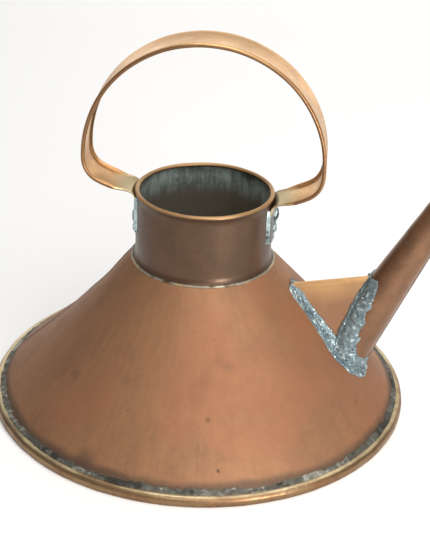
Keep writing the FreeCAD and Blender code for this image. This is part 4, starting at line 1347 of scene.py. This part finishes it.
def solder_run(name, seams, sides, widths, height, replaces, seed, over_ridge=True):
    """A lumpy run of solder in the corner between two surfaces.

    Each of the two sides gives, for a place on the seam and its heading, the direction away from the
    corner along that surface, the surface's outward direction, and a way to press a point onto it.
    """
    lengths = [0.0]
    for a, b in zip(seams, seams[1:]):
        lengths.append(lengths[-1] + (b - a).length)
    total = lengths[-1]
    along = max(int(total / 0.0006), 60)
    across = 26
    taper = 0.05
    rows = []
    step = 0
    for i in range(along + 1):
        want = total * i / along
        while step < len(seams) - 2 and lengths[step + 1] < want:
            step += 1
        share = (want - lengths[step]) / max(lengths[step + 1] - lengths[step], 1e-9)
        spot = seams[step].lerp(seams[step + 1], min(max(share, 0.0), 1.0))
        low, high = seams[max(step - 1, 0)], seams[min(step + 2, len(seams) - 1)]
        heading = (high - low).normalized()
        rows.append((spot, want / total, [side(spot, heading) for side in sides]))

    def place(u, v):
        spot, share, faces = rows[int(round(u * along))]
        end = smoothstep(0.0, taper, share) * smoothstep(1.0, 1.0 - taper, share)
        t = min(v, 1 - v) * 2
        index = 0 if t < 0.5 else 1
        away, _, press = faces[index]
        ragged = 1 + 0.3 * wobble(spot, 0.012, seed + index) + 0.12 * wobble(spot, 0.004, seed + index)
        least = 0.45 - 0.35 * index
        ridge = least + (1 - least) * smoothstep(0.0015, 0.006, abs(spot.y)) if over_ridge else 1.0
        spread = widths[index] * (0.35 + 0.65 * end) * ragged * ridge
        base = press(spot + away * spread * abs(1 - 2 * t))
        for _ in range(6 if over_ridge else 0):
            over = max((base - gusset_start()).dot(gusset_frame()[1]) - 0.0003, 0.0)
            base = press(base - gusset_frame()[1] * over)
        blend = smoothstep(0.2, 0.8, t)
        facing = (faces[0][1] * (1 - blend) + faces[1][1] * blend).normalized()
        profile = math.sin(math.pi * t) ** 0.5
        if v > 0.5:
            return base - facing * (0.0004 + 0.0002 * profile)
        rise = height * (0.36 + 0.95 * crinkle(base, seed)) * profile * (0.25 + 0.75 * end)
        return base + facing * (rise - 0.0004 * (1 - profile))

    bm = bmesh.new()
    placed_grid(bm, along, across * 2, place)
    bmesh.ops.remove_doubles(bm, verts=bm.verts, dist=2e-5)
    close_ends(bm)
    bmesh.ops.recalc_face_normals(bm, faces=bm.faces)
    # The crest follows the same lumps as the solder's shape, so its material paints shade in the hollows
    # and a highlight on the crests.
    store_crest(bm, lambda p: 0.26 + 1.0 * crinkle(p, seed))
    return finish_piece(bm, name, [joint_solder()], replaces=replaces)


def press_on_cone(point):
    """The nearest point on the cone."""
    return point - cone_normal(point) * cone_gap(point)


def press_on_spout(point):
    """The nearest point on the spout."""
    return point - spout_normal(point) * spout_gap(point)


def on_cone(away_from):
    """A solder run's side on the cone, heading away from a piece."""

    def side(spot, heading):
        out = cone_normal(spot)
        away = out.cross(heading).normalized()
        if away.dot(spot - away_from) < 0:
            away = -away
        return away, out, press_on_cone

    return side


def on_spout(away_from):
    """A solder run's side on the spout."""

    def side(spot, heading):
        out = spout_normal(spot)
        away = out.cross(heading).normalized()
        if away.dot(away_from) < 0:
            away = -away
        return away, out, press_on_spout

    return side


def on_gusset(direction):
    """A solder run's side on the gusset, along or against its ridge."""

    def side(spot, heading):
        depth = -(spot - gusset_start()).dot(gusset_frame()[1])
        share = smoothstep(0.001, 0.006, depth)
        up = gusset_frame()[1]
        sideways = Vector((0, 1 if spot.y >= 0 else -1, 0))
        out = (up * (1 - share) + (sideways + up * 0.25) * share).normalized()
        return gusset_frame()[0] * direction, out, lambda point: point

    return side


class CAN_OT_joints(Operator):
    """Run thick solder along the gusset and around the spout's foot."""

    bl_idname = "can.build_joints"
    bl_label = "Spout and gusset solder"

    def execute(self, context):
        lines = gusset_lines(40)
        forward, up = gusset_frame()
        near = [line[0] for line in lines]
        far = [line[1] for line in lines]
        middle = gusset_start() + forward * 0.04 - up * 0.02
        solder_run("gusset_cone_solder", near, (on_cone(middle), on_gusset(1.0)),
                   widths=(0.0065, 0.0065), height=0.0023, replaces=["solder_gusset_cone"], seed=1.0)
        solder_run("gusset_spout_solder", far, (on_gusset(-1.0), on_spout(spout_axis() + forward)),
                   widths=(0.0038, 0.0175), height=0.0026, replaces=["solder_gusset_spout"], seed=4.0)
        foot = []
        for i in range(121):
            angle = math.radians(-128 + 256 * i / 120)
            foot.append(spout_point(spout_foot(angle), angle))
        axis_foot = spout_mark() + foot_of_axis() * spout_axis()
        solder_run("spout_cone_solder", foot, (on_cone(axis_foot), on_spout(spout_axis())),
                   widths=(0.0065, 0.0115), height=0.0024, replaces=["solder_spout_cone"], seed=7.0,
                   over_ridge=False)
        return {"FINISHED"}


class CAN_OT_tabs(Operator):
    """Run solder around the handle's two tabs."""

    bl_idname = "can.build_tabs"
    bl_label = "Handle solder"

    def execute(self, context):
        s = sizes()
        # Each dab: how far sideways, its height, its reach and how far it stands out
        right_dabs = (
            (0.0045, s.arm_right - 0.0145, 0.0062, 0.0036), (0.0030, s.arm_right - 0.0240, 0.0050, 0.0022),
        )
        left_dabs = ((-0.0060, s.arm_left - 0.0220, 0.0050, 0.0014),)
        self.make_run(s, 1, s.arm_right, s.tab_foot_right, "handle_solder_right", 2.0, right_dabs)
        self.make_run(s, -1, s.arm_left, s.tab_foot_left, "handle_solder_left", 6.0, left_dabs)
        return {"FINISHED"}

    @staticmethod
    def outline(half, foot, top):
        """The tab's edge as (sideways, height): down one side, across the foot and up the other side."""
        rounding = 0.003
        down = [(-half, top + (foot + rounding - top) * i / 30) for i in range(30)]
        turned = arc_points((-half + rounding, foot + rounding), rounding, 180.0, 270.0, 11)
        across = [(-half + rounding + 2 * (half - rounding) * i / 41, foot) for i in range(1, 41)]
        first = down + turned + across[:20]
        return first + [(-y, z) for y, z in reversed(down + turned + across[:20])]

    def make_run(self, s, sign, arm, foot, node_name, seed, dabs):
        """One smooth run around a tab, with thicker dabs on the tab's face."""
        top = arm - s.tab_bend - s.strap_sheet / 2 + 0.003
        track = self.outline(s.strap_half, foot, top)
        yaw = Matrix.Rotation(s.handle_yaw, 3, "Z")
        across = 16

        def place(u, v):
            step = u * (len(track) - 1)
            low = min(int(step), len(track) - 2)
            share = step - low
            y = track[low][0] * (1 - share) + track[low + 1][0] * share
            z = track[low][1] * (1 - share) + track[low + 1][1] * share
            heading = (Vector(track[low + 1]) - Vector(track[low])).normalized()
            end = smoothstep(0.0, 0.05, u) * smoothstep(1.0, 0.95, u)
            t = min(v, 1 - v) * 2
            spot = Vector((sign * s.neck_radius, y, z))
            ragged = 1 + 0.3 * wobble(spot, 0.012, seed) + 0.12 * wobble(spot, 0.004, seed + 1)
            offset = (t - 0.45) * 0.0031 * ragged * (0.5 + 0.5 * end)
            y += heading.y * offset
            z -= heading.x * offset
            profile = math.sin(math.pi * t) ** 0.6
            base = s.neck_radius + s.strap_sheet * smoothstep(0.001, -0.0005, offset)
            swell = 0.0012 * (0.7 + 0.4 * wobble(Vector((sign, y, z)), 0.006, seed + 2))
            rise = swell * profile * (0.3 + 0.7 * end) - 0.0004 * (1 - profile) if v <= 0.5 else -0.0005
            x = sign * math.sqrt(max((base + rise) ** 2 - y ** 2, 1e-8))
            return yaw @ Vector((x, y, z))

        bm = bmesh.new()
        placed_grid(bm, 260, across * 2, place)
        bmesh.ops.remove_doubles(bm, verts=bm.verts, dist=2e-5)
        close_ends(bm)
        for y, z, reach, height in dabs:
            self.add_dab(bm, s, sign, yaw, y, z, reach, height, seed)
        bmesh.ops.recalc_face_normals(bm, faces=bm.faces)
        face = s.neck_radius + s.strap_sheet
        store_crest(bm, lambda p: (
            0.5 + 0.5 * wobble(p, 0.009, seed) + 0.25 * wobble(p, 0.003, seed)
            - 0.5 * smoothstep(face + 0.0010, face + 0.0024, math.hypot(p.x, p.y))
        ))
        finish_piece(bm, node_name + "_run", [tab_solder()], replaces=[node_name])

    @staticmethod
    def add_dab(bm, s, sign, yaw, y, z, reach, height, seed):
        """A dab of solder set on the tab's face."""
        made = bmesh.ops.create_icosphere(bm, subdivisions=4, radius=1.0)
        face = s.neck_radius + s.strap_sheet
        for vert in made["verts"]:
            way = vert.co.copy()
            swell = 1 + 0.22 * wobble(way + Vector((z * 900, 0, 0)), 0.9, seed)
            x = face + way.x * height * swell
            place = Vector((x, y + way.y * reach * 0.62 * swell, z + way.z * reach * swell))
            round_off = face - math.sqrt(max(face ** 2 - place.y ** 2, 0.0))
            vert.co = yaw @ Vector((sign * (place.x - round_off), place.y, place.z))


class CAN_OT_metals(Operator):
    """Give the parts kept from the frame their own metals."""

    bl_idname = "can.dress_frame"
    bl_label = "Metals of the kept parts"

    def execute(self, context):
        finishes = {
            "base_plate": body_copper, "neck_rim_wire": iron_wire,
            "neck_seam": seam_solder, "spout_lip": lip_brass, "spout_seam": seam_solder,
        }
        for name, make in finishes.items():
            mesh = NODES[name].data
            if not mesh.materials:
                mesh.materials.append(make())
            for i in range(len(mesh.materials)):
                mesh.materials[i] = make()
        return {"FINISHED"}


# ---- The studio ----


class CAN_OT_studio(Operator):
    """Set the can on a plain pale floor with soft lights and a camera."""

    bl_idname = "can.build_studio"
    bl_label = "Studio"

    def execute(self, context):
        self.make_floor(context.scene)
        self.make_world(context.scene)
        self.make_light(context.scene, "key", (0.65, -0.90, 1.65), (1.9, 1.9), 31.5, (1.0, 0.97, 0.93))
        self.make_light(context.scene, "band", (0.76, -0.90, 0.20), (0.20, 0.34), 8.5, (1.0, 0.97, 0.93))
        self.make_light(context.scene, "top", (0.0, 0.75, 1.8), (1.0, 1.0), 10.0, (0.97, 0.98, 1.0))
        self.make_light(context.scene, "back", (0.0, 1.7, 0.5), (3.4, 0.9), 10.5, (1.0, 0.97, 0.90))
        self.make_camera(context.scene)
        context.scene.view_settings.view_transform = "Standard"
        return {"FINISHED"}

    @staticmethod
    def make_floor(scene):
        """A large plain floor."""
        bm = bmesh.new()
        bmesh.ops.create_grid(bm, x_segments=8, y_segments=8, size=6.0)
        mesh = bpy.data.meshes.new("floor")
        bm.to_mesh(mesh)
        bm.free()
        floor = bpy.data.objects.new("floor", mesh)
        scene.collection.objects.link(floor)
        material, _, shader = start_metal("floor paint", 0.0, 0.9)
        shader.inputs["Base Color"].default_value = (0.95, 0.95, 0.95, 1.0)
        mesh.materials.append(material)

    @staticmethod
    def make_world(scene):
        """Soft even light from all round."""
        world = bpy.data.worlds.new("studio air")
        world.use_nodes = True
        background = world.node_tree.nodes["Background"]
        background.inputs["Color"].default_value = (1.0, 1.0, 1.0, 1.0)
        background.inputs["Strength"].default_value = 0.3
        scene.world = world

    @staticmethod
    def make_light(scene, name, place, size, power, tint):
        """A soft light turned to the can; size is its width and height."""
        data = bpy.data.lights.new(name, "AREA")
        data.shape = "RECTANGLE"
        data.size, data.size_y = size
        data.energy = power
        data.color = tint
        light = bpy.data.objects.new(name, data)
        light.location = place
        aim = Vector((0, 0, 0.12)) - Vector(place)
        light.visible_camera = False
        light.rotation_euler = aim.to_track_quat("-Z", "Y").to_euler()
        scene.collection.objects.link(light)

    @staticmethod
    def make_camera(scene):
        """A camera that looks down at the can from in front."""
        azimuth, elevation, roll = math.radians(9.8), math.radians(27.0), 0.0382
        right = Vector((math.cos(azimuth), math.sin(azimuth), 0.0))
        level = math.cos(elevation)
        back = Vector((math.sin(azimuth) * level, -math.cos(azimuth) * level, math.sin(elevation)))
        up = back.cross(right)
        across = math.cos(roll) * right + math.sin(roll) * up
        upward = -math.sin(roll) * right + math.cos(roll) * up
        data = bpy.data.cameras.new("camera")
        data.lens = 86.07
        data.sensor_width = 36.0
        data.dof.use_dof = False
        camera = bpy.data.objects.new("camera", data)
        camera.matrix_world = Matrix((across, upward, back)).transposed().to_4x4()
        aim, aside, distance = Vector((0.0, 0.0, 0.103)), 0.0096, 0.975
        camera.location = aim + aside * right + distance * back
        scene.collection.objects.link(camera)
        scene.camera = camera


class CAN_PT_panel(Panel):
    """The can's sizes, colours and building steps."""

    bl_label = "Watering Can"
    bl_idname = "CAN_PT_panel"
    bl_space_type = "VIEW_3D"
    bl_region_type = "UI"
    bl_category = "Watering Can"

    def draw(self, context):
        for step in STEPS:
            self.layout.operator(step.bl_idname)
        for group in (context.scene.can_sizes, context.scene.can_colours):
            box = self.layout.box()
            for name in group.bl_rna.properties.keys():
                if name not in {"rna_type", "name"}:
                    box.prop(group, name)


STEPS = (
    CAN_OT_body, CAN_OT_seam, CAN_OT_foot, CAN_OT_neck, CAN_OT_handle, CAN_OT_spout, CAN_OT_gusset,
    CAN_OT_joints, CAN_OT_tabs, CAN_OT_metals, CAN_OT_studio,
)
CLASSES = (CanSizes, CanColours, *STEPS, CAN_PT_panel)


def register():
    """Register the classes and hang the sizes and colours on the scene."""
    for item in CLASSES:
        bpy.utils.register_class(item)
    bpy.types.Scene.can_sizes = PointerProperty(type=CanSizes)
    bpy.types.Scene.can_colours = PointerProperty(type=CanColours)


def unregister():
    """Undo register."""
    del bpy.types.Scene.can_colours
    del bpy.types.Scene.can_sizes
    for item in reversed(CLASSES):
        bpy.utils.unregister_class(item)


def main():
    """Build the can piece by piece."""
    register()
    bpy.ops.can.build_body()
    bpy.ops.can.build_seam()
    bpy.ops.can.build_foot()
    bpy.ops.can.build_neck()
    bpy.ops.can.build_handle()
    bpy.ops.can.build_spout()
    bpy.ops.can.build_gusset()
    bpy.ops.can.build_joints()
    bpy.ops.can.build_tabs()
    bpy.ops.can.dress_frame()
    bpy.ops.can.build_studio()


if __name__ == "__main__":
    main()
